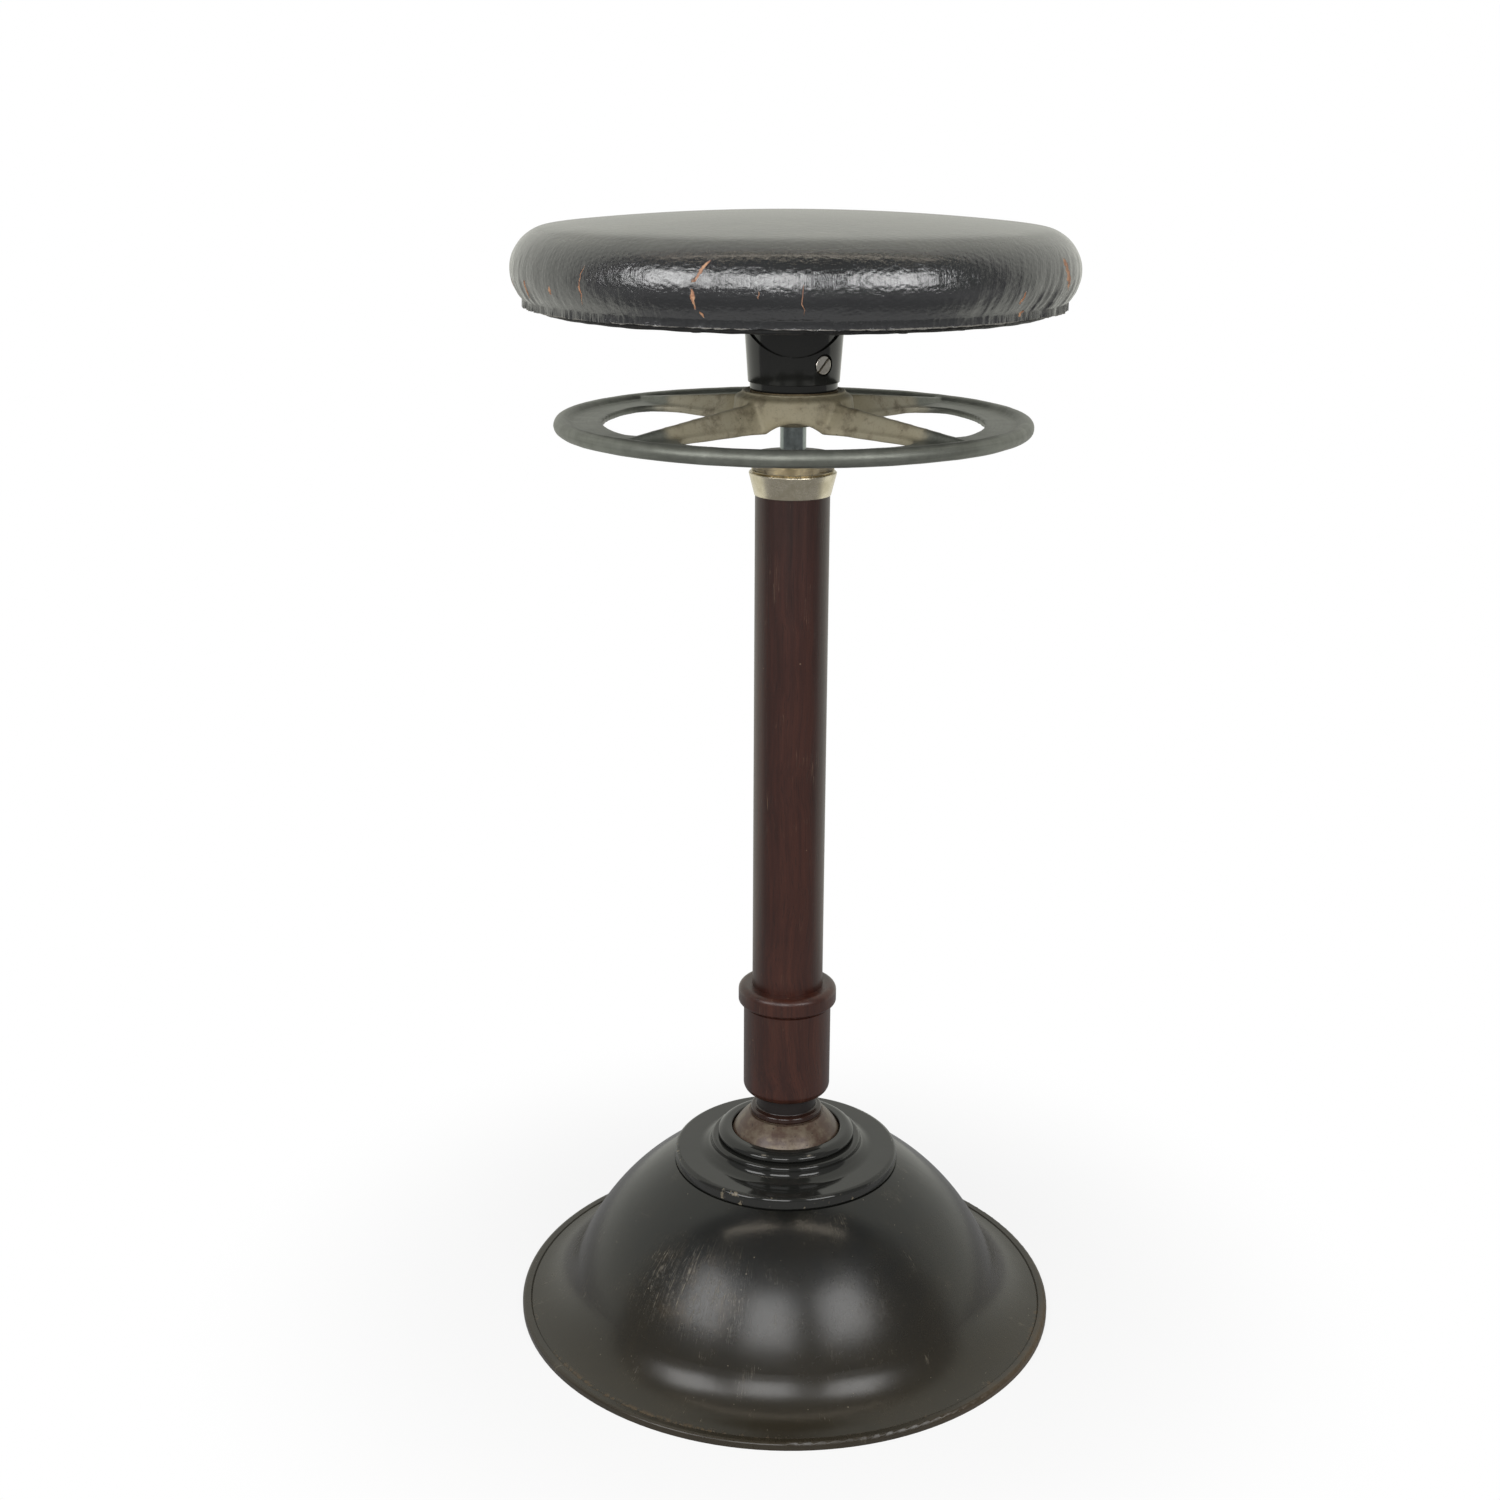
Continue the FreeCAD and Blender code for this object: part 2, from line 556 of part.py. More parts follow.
def ball_foot():
    """Ball with a turned bead and neck above, and a stud that stands in the column's tube."""
    bead_z = BALL_Z + BEAD_RISE
    bead_r = NECK_R + BEAD_STEP
    flat_z = BALL_Z - BALL_FLAT_DROP
    ball = Part.makeSphere(BALL_R, at(0, BALL_Z)).common(rod(BALL_R, flat_z, bead_z))
    upper = turned_corners((0, bead_z - BEAD_SINK),
                           (bead_r - QUIRK_IN, bead_z - BEAD_SINK),
                           (bead_r - QUIRK_IN, bead_z + QUIRK_LOW, FINE_ROUND),
                           (bead_r, bead_z + QUIRK_HIGH, TURNED_ROUND),
                           (bead_r, bead_z + BEAD_HEIGHT, BEAD_ROUND),
                           (NECK_R, bead_z + BEAD_HEIGHT, EDGE_ROUND),
                           (NECK_R, NECK_TOP_Z),
                           (TUBE_BORE - FIT, NECK_TOP_Z),
                           (TUBE_BORE - FIT, STUD_TOP_Z, CAST_ROUND),
                           (0, STUD_TOP_Z))
    body = ball.fuse(upper).removeSplitter()
    body = body.cut(Part.makeCylinder(PIN_R + RUN, 2 * BALL_R, Vector(-BALL_R, 0, BALL_Z), Vector(1, 0, 0)))
    body = body.cut(rod(TAIL_R + FIT, flat_z, flat_z + TAIL_GRIP))
    return body.cut(foot_pin_bore(FOOT_PIN_R + FIT))


def foot_pin_bore(radius):
    """Bar along the foot pin, front to back."""
    centre = Vector(0, -TUBE_R, NECK_TOP_Z + FOOT_PIN_RISE)
    return Part.makeCylinder(radius, 2 * TUBE_R, centre, Vector(0, 1, 0))


def foot_pin():
    """Pin that locks the ball foot's stud in the tube, its ends flush with the tube."""
    return foot_pin_bore(FOOT_PIN_R).common(rod(TUBE_R, NECK_TOP_Z, STUD_TOP_Z))


def tail_bolt():
    """Bolt down from the ball through the spring."""
    flat_z = BALL_Z - BALL_FLAT_DROP
    return turned_corners((0, BALL_Z - TAIL_DROP),
                          (TAIL_R, BALL_Z - TAIL_DROP, CAST_ROUND),
                          (TAIL_R, flat_z + TAIL_GRIP),
                          (0, flat_z + TAIL_GRIP))


def leaving(start, tangent, end):
    """Direction at the end of the arc that leaves start along tangent."""
    run = end - start
    run.normalize()
    return run * (2 * tangent.dot(run)) - tangent


def helix_point(t, low, pitch):
    """Point and direction on the spring's helix after t turns."""
    angle = 2 * math.pi * t
    point = Vector(SPRING_R * math.cos(angle), SPRING_R * math.sin(angle), low + pitch * t)
    rise = pitch / (2 * math.pi)
    direction = Vector(-SPRING_R * math.sin(angle), SPRING_R * math.cos(angle), rise)
    direction.normalize()
    return point, direction


def centring_spring():
    """Coil spring between the socket cup and the spring plate, one tube along joined arcs."""
    low = BALL_Z - PLATE_DROP + WIRE_R + SPRING_SEAT_GAP
    high = CUP_FOOT_Z - WIRE_R - SPRING_SEAT_GAP
    pitch = (high - low) / SPRING_TURNS
    quarter = 0.25
    edges = []
    for i in range(int(SPRING_TURNS / quarter)):
        start, leave = helix_point(i * quarter, low, pitch)
        end, arrive = helix_point((i + 1) * quarter, low, pitch)
        chord = end - start
        both = leave + arrive
        spread = 2 * (1 - leave.dot(arrive))
        along = chord.dot(both)
        reach = (math.sqrt(along ** 2 + spread * chord.dot(chord)) - along) / spread
        joint = (start + end + (leave - arrive) * reach) / 2
        edges.append(arc_on(start, leave, joint).toShape())
        edges.append(arc_on(joint, leaving(start, leave, joint), end).toShape())
    path = Part.Wire(edges)
    start, leave = helix_point(0, low, pitch)
    section = Part.Wire(Part.Circle(start, leave, WIRE_R).toShape())
    print("spring: least gap between turns %.2f mm" % (pitch - 2 * WIRE_R))
    tube = Part.BRepOffsetAPI.MakePipeShell(path)
    tube.add(section)
    tube.build()
    tube.makeSolid()
    return tube.shape()


def spring_plate():
    """Plate under the spring, carried by the tail nut."""
    top = BALL_Z - PLATE_DROP
    rim_r = SPRING_R + WIRE_R + PLATE_WALL
    return turned_corners((TAIL_R + FIT, top - PLATE_THICK),
                          (rim_r, top - PLATE_THICK, EDGE_ROUND),
                          (rim_r, top, EDGE_ROUND),
                          (TAIL_R + FIT, top))


def tail_nut():
    """Hexagon nut that sets the spring."""
    top = BALL_Z - PLATE_DROP - PLATE_THICK
    nut = hexagon(2 * (TAIL_R + NUT_WALL), top - NUT_HEIGHT, top)
    return nut.cut(rod(TAIL_R + FIT, top - NUT_HEIGHT, top))


def column_tube():
    """Steel tube that carries the column, from the ball's neck up to the cap."""
    return sleeve(TUBE_R, TUBE_BORE, NECK_TOP_Z, TUBE_TOP_Z).cut(foot_pin_bore(FOOT_PIN_R + FIT)) \
        .cut(nut_pin_bore(NUT_PIN_R + FIT))


def wood_collar():
    """Turned wood cup round the foot of the post, with a bead at its top."""
    bead_r = COLLAR_R + BEAD_RING_PROUD
    roll = BEAD_RING_HEIGHT / 2
    return turned_corners((TUBE_R + FIT, NECK_TOP_Z),
                          (COLLAR_R, NECK_TOP_Z, COLLAR_ROUND),
                          (COLLAR_R, BEAD_RING_Z - COVE_HEIGHT),
                          (COLLAR_R - COVE_DEPTH, BEAD_RING_Z - COVE_HEIGHT / 2, COVE_DEPTH),
                          (COLLAR_R, BEAD_RING_Z, FINE_ROUND),
                          (bead_r, BEAD_RING_Z, roll),
                          (bead_r, COLLAR_TOP_Z, roll),
                          (POST_R + FIT, COLLAR_TOP_Z),
                          (POST_R + FIT, POST_FOOT_Z),
                          (TUBE_R + FIT, POST_FOOT_Z))


def column_post():
    """Straight mahogany post, bored for the tube."""
    return sleeve(POST_R, TUBE_R + FIT, POST_FOOT_Z, POST_TOP_Z)


def ferrule():
    """Tapered metal ferrule over the top of the post."""
    foot_z = POST_TOP_Z - FERRULE_LAP
    return turned_corners((POST_R + FIT, foot_z),
                          (POST_R + FERRULE_WALL, foot_z, FINE_ROUND),
                          (POST_R + FERRULE_PROUD, FERRULE_TOP_Z, TURNED_ROUND),
                          (TUBE_R + FIT, FERRULE_TOP_Z),
                          (TUBE_R + FIT, POST_TOP_Z),
                          (POST_R + FIT, POST_TOP_Z))


def cap_nut():
    """Knurled cap nut that closes the column and holds the guide bush."""
    return turned_corners((TUBE_R + FIT, FERRULE_TOP_Z),
                          (CAP_R, FERRULE_TOP_Z, CAP_ROUND),
                          (CAP_R, CAP_TOP_Z, CAP_ROUND),
                          (SPINDLE_R + SWING_CLEAR, CAP_TOP_Z, CAP_ROUND),
                          (SPINDLE_R + SWING_CLEAR, TUBE_TOP_Z),
                          (TUBE_R + FIT, TUBE_TOP_Z))


def guide_bush():
    """Bronze bush in the tube's top that guides the spindle."""
    return sleeve(BUSH_R, SPINDLE_R + RUN, TUBE_TOP_Z - BUSH_LENGTH, TUBE_TOP_Z)


def nut_pin_bore(radius):
    """Bar left to right through the tube and the lift nut's wall."""
    centre = Vector(-TUBE_R, 0, LIFT_NUT_Z + LIFT_NUT_LENGTH / 2)
    return Part.makeCylinder(radius, 2 * TUBE_R, centre, Vector(1, 0, 0))


def lift_nut():
    """Bronze nut that the screw climbs in, its thread drawn plain at the screw's size."""
    nut = sleeve(BUSH_R, SCREW_R + RUN, LIFT_NUT_Z, LIFT_NUT_Z + LIFT_NUT_LENGTH)
    return nut.cut(nut_pin_bore(NUT_PIN_R + FIT))


def nut_pins():
    """Two pins that fix the lift nut in the tube, short of the screw."""
    wall = sleeve(TUBE_R, SCREW_R + SWING_CLEAR, LIFT_NUT_Z, LIFT_NUT_Z + LIFT_NUT_LENGTH)
    return Part.makeCompound(nut_pin_bore(NUT_PIN_R).common(wall).Solids)


def thrust_washer():
    """Bronze washer on the wheel's hub that the seat turns on."""
    return sleeve(HUB_FOOT_R, JOURNAL_R + SWING_CLEAR, WASHER_Z, HUB_FOOT_Z)


def spindle():
    """Lift screw below, plain spindle above, and a grooved journal for the seat on top."""
    groove_low = HUB_SCREW_Z - HUB_SCREW_R - SWING_CLEAR
    groove_high = HUB_SCREW_Z + HUB_SCREW_R + SWING_CLEAR
    body = turned_corners((0, SPINDLE_FOOT_Z + STOP_COLLAR_HEIGHT),
                          (SCREW_R, SPINDLE_FOOT_Z + STOP_COLLAR_HEIGHT),
                          (SCREW_R, SCREW_TOP_Z),
                          (SPINDLE_R, SCREW_TOP_Z),
                          (SPINDLE_R, WASHER_Z),
                          (JOURNAL_R, WASHER_Z),
                          (JOURNAL_R, groove_low),
                          (KEEP_GROOVE_R, groove_low),
                          (KEEP_GROOVE_R, groove_high),
                          (JOURNAL_R, groove_high),
                          (JOURNAL_R, JOURNAL_TOP_Z - SWING_CLEAR, EDGE_ROUND),
                          (0, JOURNAL_TOP_Z - SWING_CLEAR))
    body = body.cut(wheel_pin_bore(WHEEL_PIN_R + FIT))
    thread = STOP_SCREW_LENGTH - STOP_COLLAR_HEIGHT
    low = SPINDLE_FOOT_Z + STOP_COLLAR_HEIGHT
    return body.cut(rod(STOP_SCREW_R + FIT, low, low + thread))


def wheel_pin_bore(radius):
    """Bar left to right through the wheel's boss and the spindle."""
    centre = Vector(-WHEEL_BOSS_R, 0, BOSS_FOOT_Z + WHEEL_PIN_RISE)
    return Part.makeCylinder(radius, 2 * WHEEL_BOSS_R, centre, Vector(1, 0, 0))


def wheel_pin():
    """Pin that fixes the handwheel on the spindle."""
    return wheel_pin_bore(WHEEL_PIN_R)


def stop_collar():
    """Collar under the screw that stops the lift at the nut."""
    radius = SCREW_R + STOP_COLLAR_STEP
    return turned_corners((STOP_SCREW_R + FIT, SPINDLE_FOOT_Z),
                          (radius, SPINDLE_FOOT_Z, TURNED_ROUND),
                          (radius, SPINDLE_FOOT_Z + STOP_COLLAR_HEIGHT, TURNED_ROUND),
                          (STOP_SCREW_R + FIT, SPINDLE_FOOT_Z + STOP_COLLAR_HEIGHT))


def stop_screw():
    """Screw that holds the stop collar."""
    head = rod(STOP_SCREW_HEAD_R, SPINDLE_FOOT_Z - STOP_SCREW_HEAD, SPINDLE_FOOT_Z)
    shank = rod(STOP_SCREW_R, SPINDLE_FOOT_Z, SPINDLE_FOOT_Z + STOP_SCREW_LENGTH)
    return head.fuse(shank).removeSplitter()


def wheel_window():
    """Cutter for one window of the wheel's web, between two spokes, at the front."""
    low = WEB_Z - WEB_THICK
    half_gap = math.pi / SPOKES
    side = SPOKE_WIDTH / 2
    corners = []
    for radius in (WHEEL_HOLLOW_R, WINDOW_R):
        swing = half_gap - math.asin(side / radius)
        corners.append((Vector(radius * math.sin(-swing), -radius * math.cos(swing), low),
                        Vector(0, -radius, low),
                        Vector(radius * math.sin(swing), -radius * math.cos(swing), low)))
    near, far = corners
    edges = [Part.ArcOfCircle(*near).toShape(), segment(near[2], far[2]),
             Part.ArcOfCircle(far[2], far[1], far[0]).toShape(), segment(far[0], near[0])]
    cutter = Part.Face(Part.Wire(edges)).extrude(Vector(0, 0, 2 * WEB_THICK))
    midway = (WHEEL_HOLLOW_R + WINDOW_R) / 2
    outer = [e for e in cutter.Edges if len(e.Vertexes) == 2
             and e.Vertexes[0].X == e.Vertexes[1].X and e.Vertexes[0].Y == e.Vertexes[1].Y
             and math.hypot(e.CenterOfMass.x, e.CenterOfMass.y) > midway]
    return cutter.makeFillet(WINDOW_ROUND, outer)


def spoke_section(radius, base, top_z):
    """Cross-section of a spoke at a radius, wide at its foot and narrow at its top."""
    foot_z = WEB_Z - WEB_THICK / 2
    half_top = SPOKE_TOP_WIDTH / 2
    corners = [Vector(radius, -base / 2, foot_z), Vector(radius, base / 2, foot_z),
               Vector(radius, half_top, top_z), Vector(radius, -half_top, top_z)]
    return Part.makePolygon(corners + corners[:1])


def spoke_blade():
    """Deep rib of one spoke, along +X: spread into the hub at its root, tapered out to the rim."""
    root_z = WASHER_Z - SPOKE_TOP_DROP
    end_z = WEB_Z + SPOKE_END_RISE
    neck_r = WHEEL_SKIRT_R + SPOKE_ROOT_REACH
    reach = WHEEL_R - 2 * RIM_BEAD_R
    neck_z = root_z + (end_z - root_z) * (neck_r - WHEEL_BOSS_R) / (reach - WHEEL_BOSS_R)
    root = [spoke_section(WHEEL_BOSS_R, SPOKE_ROOT_WIDTH, root_z), spoke_section(neck_r, SPOKE_WIDTH, neck_z)]
    run = [spoke_section(neck_r, SPOKE_WIDTH, neck_z), spoke_section(reach, SPOKE_END_WIDTH, end_z)]
    return Part.makeLoft(root, True, True).fuse(Part.makeLoft(run, True, True)).removeSplitter()


def wheel_arch():
    """Cutter for the arches under the hub, one across each pair of facing sides."""
    drop = ARCH_RISE + WHEEL_SKIRT_DROP
    radius = (ARCH_WIDTH ** 2 / 4 + drop ** 2) / (2 * drop)
    reach = WHEEL_SKIRT_R + SPOKE_ROOT_REACH
    centre = Vector(-reach, 0, BOSS_FOOT_Z + ARCH_RISE - radius)
    return Part.makeCylinder(radius, 2 * reach, centre, Vector(1, 0, 0))


def wheel_hub():
    """Hub of the handwheel: crowned top, raised lip, rounded shoulder and spread skirt."""
    crown_z = WASHER_Z - WHEEL_CROWN
    recess_r = WHEEL_LIP_R - WHEEL_LIP_WIDTH
    shoulder_z = WASHER_Z - WHEEL_SHOULDER_DROP
    return turned_corners((0, WASHER_Z),
                          (0, crown_z),
                          (WHEEL_HOLLOW_R, crown_z, ARCH_FILLET),
                          (WHEEL_HOLLOW_R, SKIRT_FOOT_Z),
                          (WHEEL_SKIRT_R, SKIRT_FOOT_Z, CAST_ROUND),
                          (WHEEL_SHOULDER_R, shoulder_z, WHEEL_SHOULDER_ROUND),
                          (WHEEL_LIP_R, WASHER_Z, FINE_ROUND),
                          (WHEEL_LIP_R, WHEEL_TOP_Z, WHEEL_LIP_ROUND),
                          (recess_r, WHEEL_TOP_Z, WHEEL_LIP_ROUND),
                          (recess_r, WASHER_Z))


def handwheel():
    """Cast four-spoke handwheel with a rolled rim."""
    rim_r = WHEEL_R - RIM_BEAD_R
    rim = Part.makeTorus(rim_r, RIM_BEAD_R, at(0, RIM_BEAD_Z))
    web = rod(rim_r, WEB_Z - WEB_THICK / 2, WEB_Z + WEB_THICK / 2)
    for window in ring_of(wheel_window(), SPOKES):
        web = web.cut(window)
    body = web.fuse([rim, wheel_hub()] + ring_of(spoke_blade(), SPOKES, 180.0 / SPOKES)).removeSplitter()
    low = BOSS_FOOT_Z - WHEEL_R
    body = body.cut(rod(WHEEL_HOLLOW_R, low, WASHER_Z - WHEEL_CROWN))
    for arch in ring_of(wheel_arch(), SPOKES):
        body = body.cut(arch)
    body = body.fuse(rod(WHEEL_BOSS_R, BOSS_FOOT_Z, WASHER_Z)).removeSplitter()
    body = body.cut(rod(SPINDLE_R + FIT, low, WHEEL_TOP_Z))
    return body.cut(wheel_pin_bore(WHEEL_PIN_R + FIT))


def hub_screw_axis():
    """Outward direction of the hub screw."""
    angle = math.radians(HUB_SCREW_AZIMUTH_DEG)
    return Vector(math.sin(angle), -math.cos(angle), 0)


def hub_screw_bar(radius, start, end):
    """Bar along the hub screw's axis between two distances from the stool's axis."""
    out = hub_screw_axis()
    return Part.makeCylinder(radius, end - start, out * start + at(0, HUB_SCREW_Z), out)


def hub_head_r():
    """Distance from the axis to the outside of the hub screw's head."""
    drop = SADDLE_SIDE - HUB_SCREW_RISE
    return HUB_R - HUB_TAPER * drop / (SADDLE_SIDE - HUB_FOOT) - HUB_SCREW_SUNK


def seat_hub():
    """Cast hub of the seat: plain foot band, core inside the sleeve, and the plate under the board."""
    plate_z = HUB_TOP_Z - HUB_PLATE_THICK
    core_height = plate_z - HUB_FOOT_Z - HUB_FOOT
    core_top_r = HUB_CORE_R + HUB_TAPER * core_height / (SADDLE_SIDE - HUB_FOOT)
    body = turned_corners((0, HUB_FOOT_Z),
                          (HUB_FOOT_R, HUB_FOOT_Z, EDGE_ROUND),
                          (HUB_FOOT_R, HUB_FOOT_Z + HUB_FOOT, FINE_ROUND),
                          (HUB_CORE_R, HUB_FOOT_Z + HUB_FOOT),
                          (core_top_r, plate_z, HUB_FILLET),
                          (HUB_PLATE_R, plate_z, HUB_PLATE_ROUND),
                          (HUB_PLATE_R, HUB_TOP_Z),
                          (0, HUB_TOP_Z))
    body = body.cut(rod(JOURNAL_R + RUN, HUB_FOOT_Z, JOURNAL_TOP_Z))
    body = body.cut(hub_screw_bar(HUB_SCREW_R + FIT, 0, HUB_R))
    body = body.cut(hub_screw_bar(HUB_SCREW_HEAD_R + HUB_SCREW_WELL, hub_head_r() - HUB_SCREW_HEAD, HUB_R))
    hole = Part.makeCylinder(PLATE_SCREW_R + FIT, HUB_PLATE_THICK, at(PLATE_SCREW_CIRCLE_R, plate_z))
    for cut in ring_of(hole, PLATE_SCREWS):
        body = body.cut(cut)
    return body


def hub_sleeve():
    """Sleeve round the hub, its top edge cut in a saddle that is low at the front and back."""
    low = HUB_FOOT_Z + HUB_FOOT
    high = HUB_FOOT_Z + SADDLE_SIDE
    body = turned_corners((HUB_CORE_R + FIT, low),
                          (HUB_R - HUB_TAPER, low, FINE_ROUND),
                          (HUB_R, high),
                          (HUB_CORE_R + HUB_TAPER + FIT, high))
    drop = SADDLE_SIDE - SADDLE_FRONT
    saddle_r = (HUB_R ** 2 + drop ** 2) / (2 * drop)
    saddle_z = HUB_FOOT_Z + SADDLE_FRONT + saddle_r
    body = body.cut(Part.makeCylinder(saddle_r, 4 * HUB_R, Vector(0, -2 * HUB_R, saddle_z), Vector(0, 1, 0)))
    return body.cut(hub_screw_bar(HUB_SCREW_HEAD_R + HUB_SCREW_WELL, 0, 2 * HUB_R))


def hub_screw():
    """Slotted screw whose tip runs in the journal's groove and keeps the seat on."""
    head = hub_screw_bar(HUB_SCREW_HEAD_R, hub_head_r() - HUB_SCREW_HEAD, hub_head_r())
    head = head.makeFillet(TURNED_ROUND, [e for e in head.Edges if e.Curve.TypeId == "Part::GeomCircle"
                                 and e.CenterOfMass.dot(hub_screw_axis()) > hub_head_r() - HUB_SCREW_HEAD / 2])
    shank = hub_screw_bar(HUB_SCREW_R, KEEP_GROOVE_R + SWING_CLEAR, hub_head_r() - HUB_SCREW_HEAD)
    slot = Part.makeBox(HUB_SCREW_SLOT, 4 * HUB_SCREW_HEAD_R, HUB_SCREW_HEAD,
                        Vector(-HUB_SCREW_SLOT / 2, -2 * HUB_SCREW_HEAD_R, -HUB_SCREW_HEAD / 2))
    slot.rotate(ORIGIN, UP, HUB_SCREW_SLOT_TURN_DEG)
    slot.rotate(ORIGIN, Vector(1, 0, 0), 90)
    slot.rotate(ORIGIN, UP, HUB_SCREW_AZIMUTH_DEG)
    slot.translate(hub_screw_axis() * hub_head_r() + at(0, HUB_SCREW_Z))
    return head.fuse(shank).removeSplitter().cut(slot)


def plate_screws():
    """Wood screws up through the hub's plate into the board."""
    low = HUB_TOP_Z - HUB_PLATE_THICK
    head = Part.makeCylinder(PLATE_SCREW_HEAD_R, PLATE_SCREW_HEAD, at(PLATE_SCREW_CIRCLE_R, low - PLATE_SCREW_HEAD))
    head = head.makeFillet(TURNED_ROUND, [e for e in head.Edges if e.Curve.TypeId == "Part::GeomCircle"
                                 and e.CenterOfMass.z < low - PLATE_SCREW_HEAD / 2])
    shank = Part.makeCylinder(PLATE_SCREW_R, HUB_PLATE_THICK + PLATE_SCREW_BITE, at(PLATE_SCREW_CIRCLE_R, low))
    return Part.makeCompound(ring_of(head.fuse(shank).removeSplitter(), PLATE_SCREWS))


def seat_board():
    """Round wood board under the seat."""
    body = turned_corners((0, BOARD_Z), (BOARD_R, BOARD_Z, BOARD_ROUND), (BOARD_R, BOARD_TOP_Z), (0, BOARD_TOP_Z))
    hole = Part.makeCylinder(PLATE_SCREW_R + FIT, PLATE_SCREW_BITE, at(PLATE_SCREW_CIRCLE_R, BOARD_Z))
    for cut in ring_of(hole, PLATE_SCREWS):
        body = body.cut(cut)
    return body.cut(tack_holes())


def seat_profile(inset):
    """Crown, shoulder and drawn-in side of the seat from its top to its hem, set in by inset."""
    shoulder_r = SHOULDER_R - inset
    shoulder = at(SEAT_R - SHOULDER_R, WIDEST_Z)
    crown_z = CROWN_Z - inset
    level = crown_z - WIDEST_Z
    crown_r = (shoulder.x ** 2 + level ** 2 - shoulder_r ** 2) / (2 * (level - shoulder_r))
    crown = at(0, crown_z - crown_r)
    lean = math.atan2(shoulder.x, shoulder.z - crown.z)
    meet = crown + at(math.sin(lean), math.cos(lean)) * crown_r
    widest = at(SEAT_R - inset, WIDEST_Z)
    hem = at(SEAT_R - HEM_IN - inset, HEM_Z)
    half_crown = crown + at(math.sin(lean / 2), math.cos(lean / 2)) * crown_r
    half_turn = (lean + math.pi / 2) / 2
    half_shoulder = shoulder + at(math.sin(half_turn), math.cos(half_turn)) * shoulder_r
    return [Part.ArcOfCircle(at(0, crown_z), half_crown, meet).toShape(),
            Part.ArcOfCircle(meet, half_shoulder, widest).toShape(),
            arc_on(widest, Vector(0, 0, -1), hem).toShape()], hem


def seat_cover():
    """Leather cover over the stuffing, drawn in to the hem."""
    outer, outer_hem = seat_profile(0)
    inner, inner_hem = seat_profile(COVER_THICK)
    hem = segment(outer_hem, inner_hem)
    crown = segment(at(0, CROWN_Z - COVER_THICK), at(0, CROWN_Z))
    return turned(outer + [hem] + inner[::-1] + [crown])


def seat_stuffing():
    """Stuffing on the board and round its edge, inside the cover."""
    inner, inner_hem = seat_profile(COVER_THICK)
    block = turned(inner + [segment(inner_hem, at(0, HEM_Z)), segment(at(0, HEM_Z), at(0, CROWN_Z - COVER_THICK))])
    return block.cut(rod(BOARD_R, HEM_Z, BOARD_TOP_Z))


def tack_holes():
    """Cutter for the holes of all the tacks, through the turned-in leather into the board."""
    hole = Part.makeCylinder(TACK_SHANK_R + FIT, STRIP_THICK + TACK_BITE, at(TACK_CIRCLE_R, STRIP_Z))
    return Part.makeCompound(ring_of(hole, TACKS, 180.0 / TACKS))


def hem_strip():
    """Lower edge of the leather, turned in round the board's edge and tacked underneath."""
    strip = turned_corners((BOARD_R - STRIP_IN, STRIP_Z),
                           (BOARD_R + STRIP_THICK, STRIP_Z, STRIP_THICK),
                           (BOARD_R + STRIP_THICK, HEM_Z),
                           (BOARD_R + FIT, HEM_Z),
                           (BOARD_R + FIT, BOARD_Z),
                           (BOARD_R - STRIP_IN, BOARD_Z))
    return strip.cut(tack_holes())


def hem_tacks():
    """Ring of tacks up through the turned-in leather into the board."""
    head = Part.makeCylinder(TACK_R, TACK_HEIGHT, at(TACK_CIRCLE_R, STRIP_Z - TACK_HEIGHT))
    head = head.makeFillet(TACK_ROUND, [e for e in head.Edges if e.Curve.TypeId == "Part::GeomCircle"
                                        and e.CenterOfMass.z < STRIP_Z - TACK_HEIGHT / 2])
    shank = Part.makeCylinder(TACK_SHANK_R, STRIP_THICK + TACK_BITE, at(TACK_CIRCLE_R, STRIP_Z))
    return Part.makeCompound(ring_of(head.fuse(shank).removeSplitter(), TACKS, 180.0 / TACKS))


PIECES = [base_bell, base_flange, socket_cup, socket_ring, flange_screws, cross_pin,
          ball_foot, foot_pin, tail_bolt, centring_spring, spring_plate, tail_nut,
          column_tube, wood_collar, column_post, ferrule, cap_nut, guide_bush, lift_nut, nut_pins,
          thrust_washer, spindle, wheel_pin, stop_collar, stop_screw, handwheel,
          seat_hub, hub_sleeve, hub_screw, plate_screws, seat_board, seat_cover, seat_stuffing,
          hem_strip, hem_tacks]

os.makedirs("parts", exist_ok=True)
for piece in PIECES:
    shape = piece()
    shape.exportStep("parts/%s.step" % piece.__name__)
    print("%-16s solids %2d  volume %10.1f  valid %s" % (
        piece.__name__, len(shape.Solids), shape.Volume, shape.isValid()))
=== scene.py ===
"""Looks of the dental stool: its finishes, stuffed seat, cast handwheel, knurled cap, studio and camera.

Metres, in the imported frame: +Z is up, -Y is the front, and the middle of the foot is the origin.
"""
import logging
import math
from contextlib import contextmanager
from dataclasses import dataclass
from enum import Enum
from typing import Callable, ClassVar, Iterator, Optional, Sequence, Union

import bmesh
import bpy
from mathutils import Matrix, Vector, noise


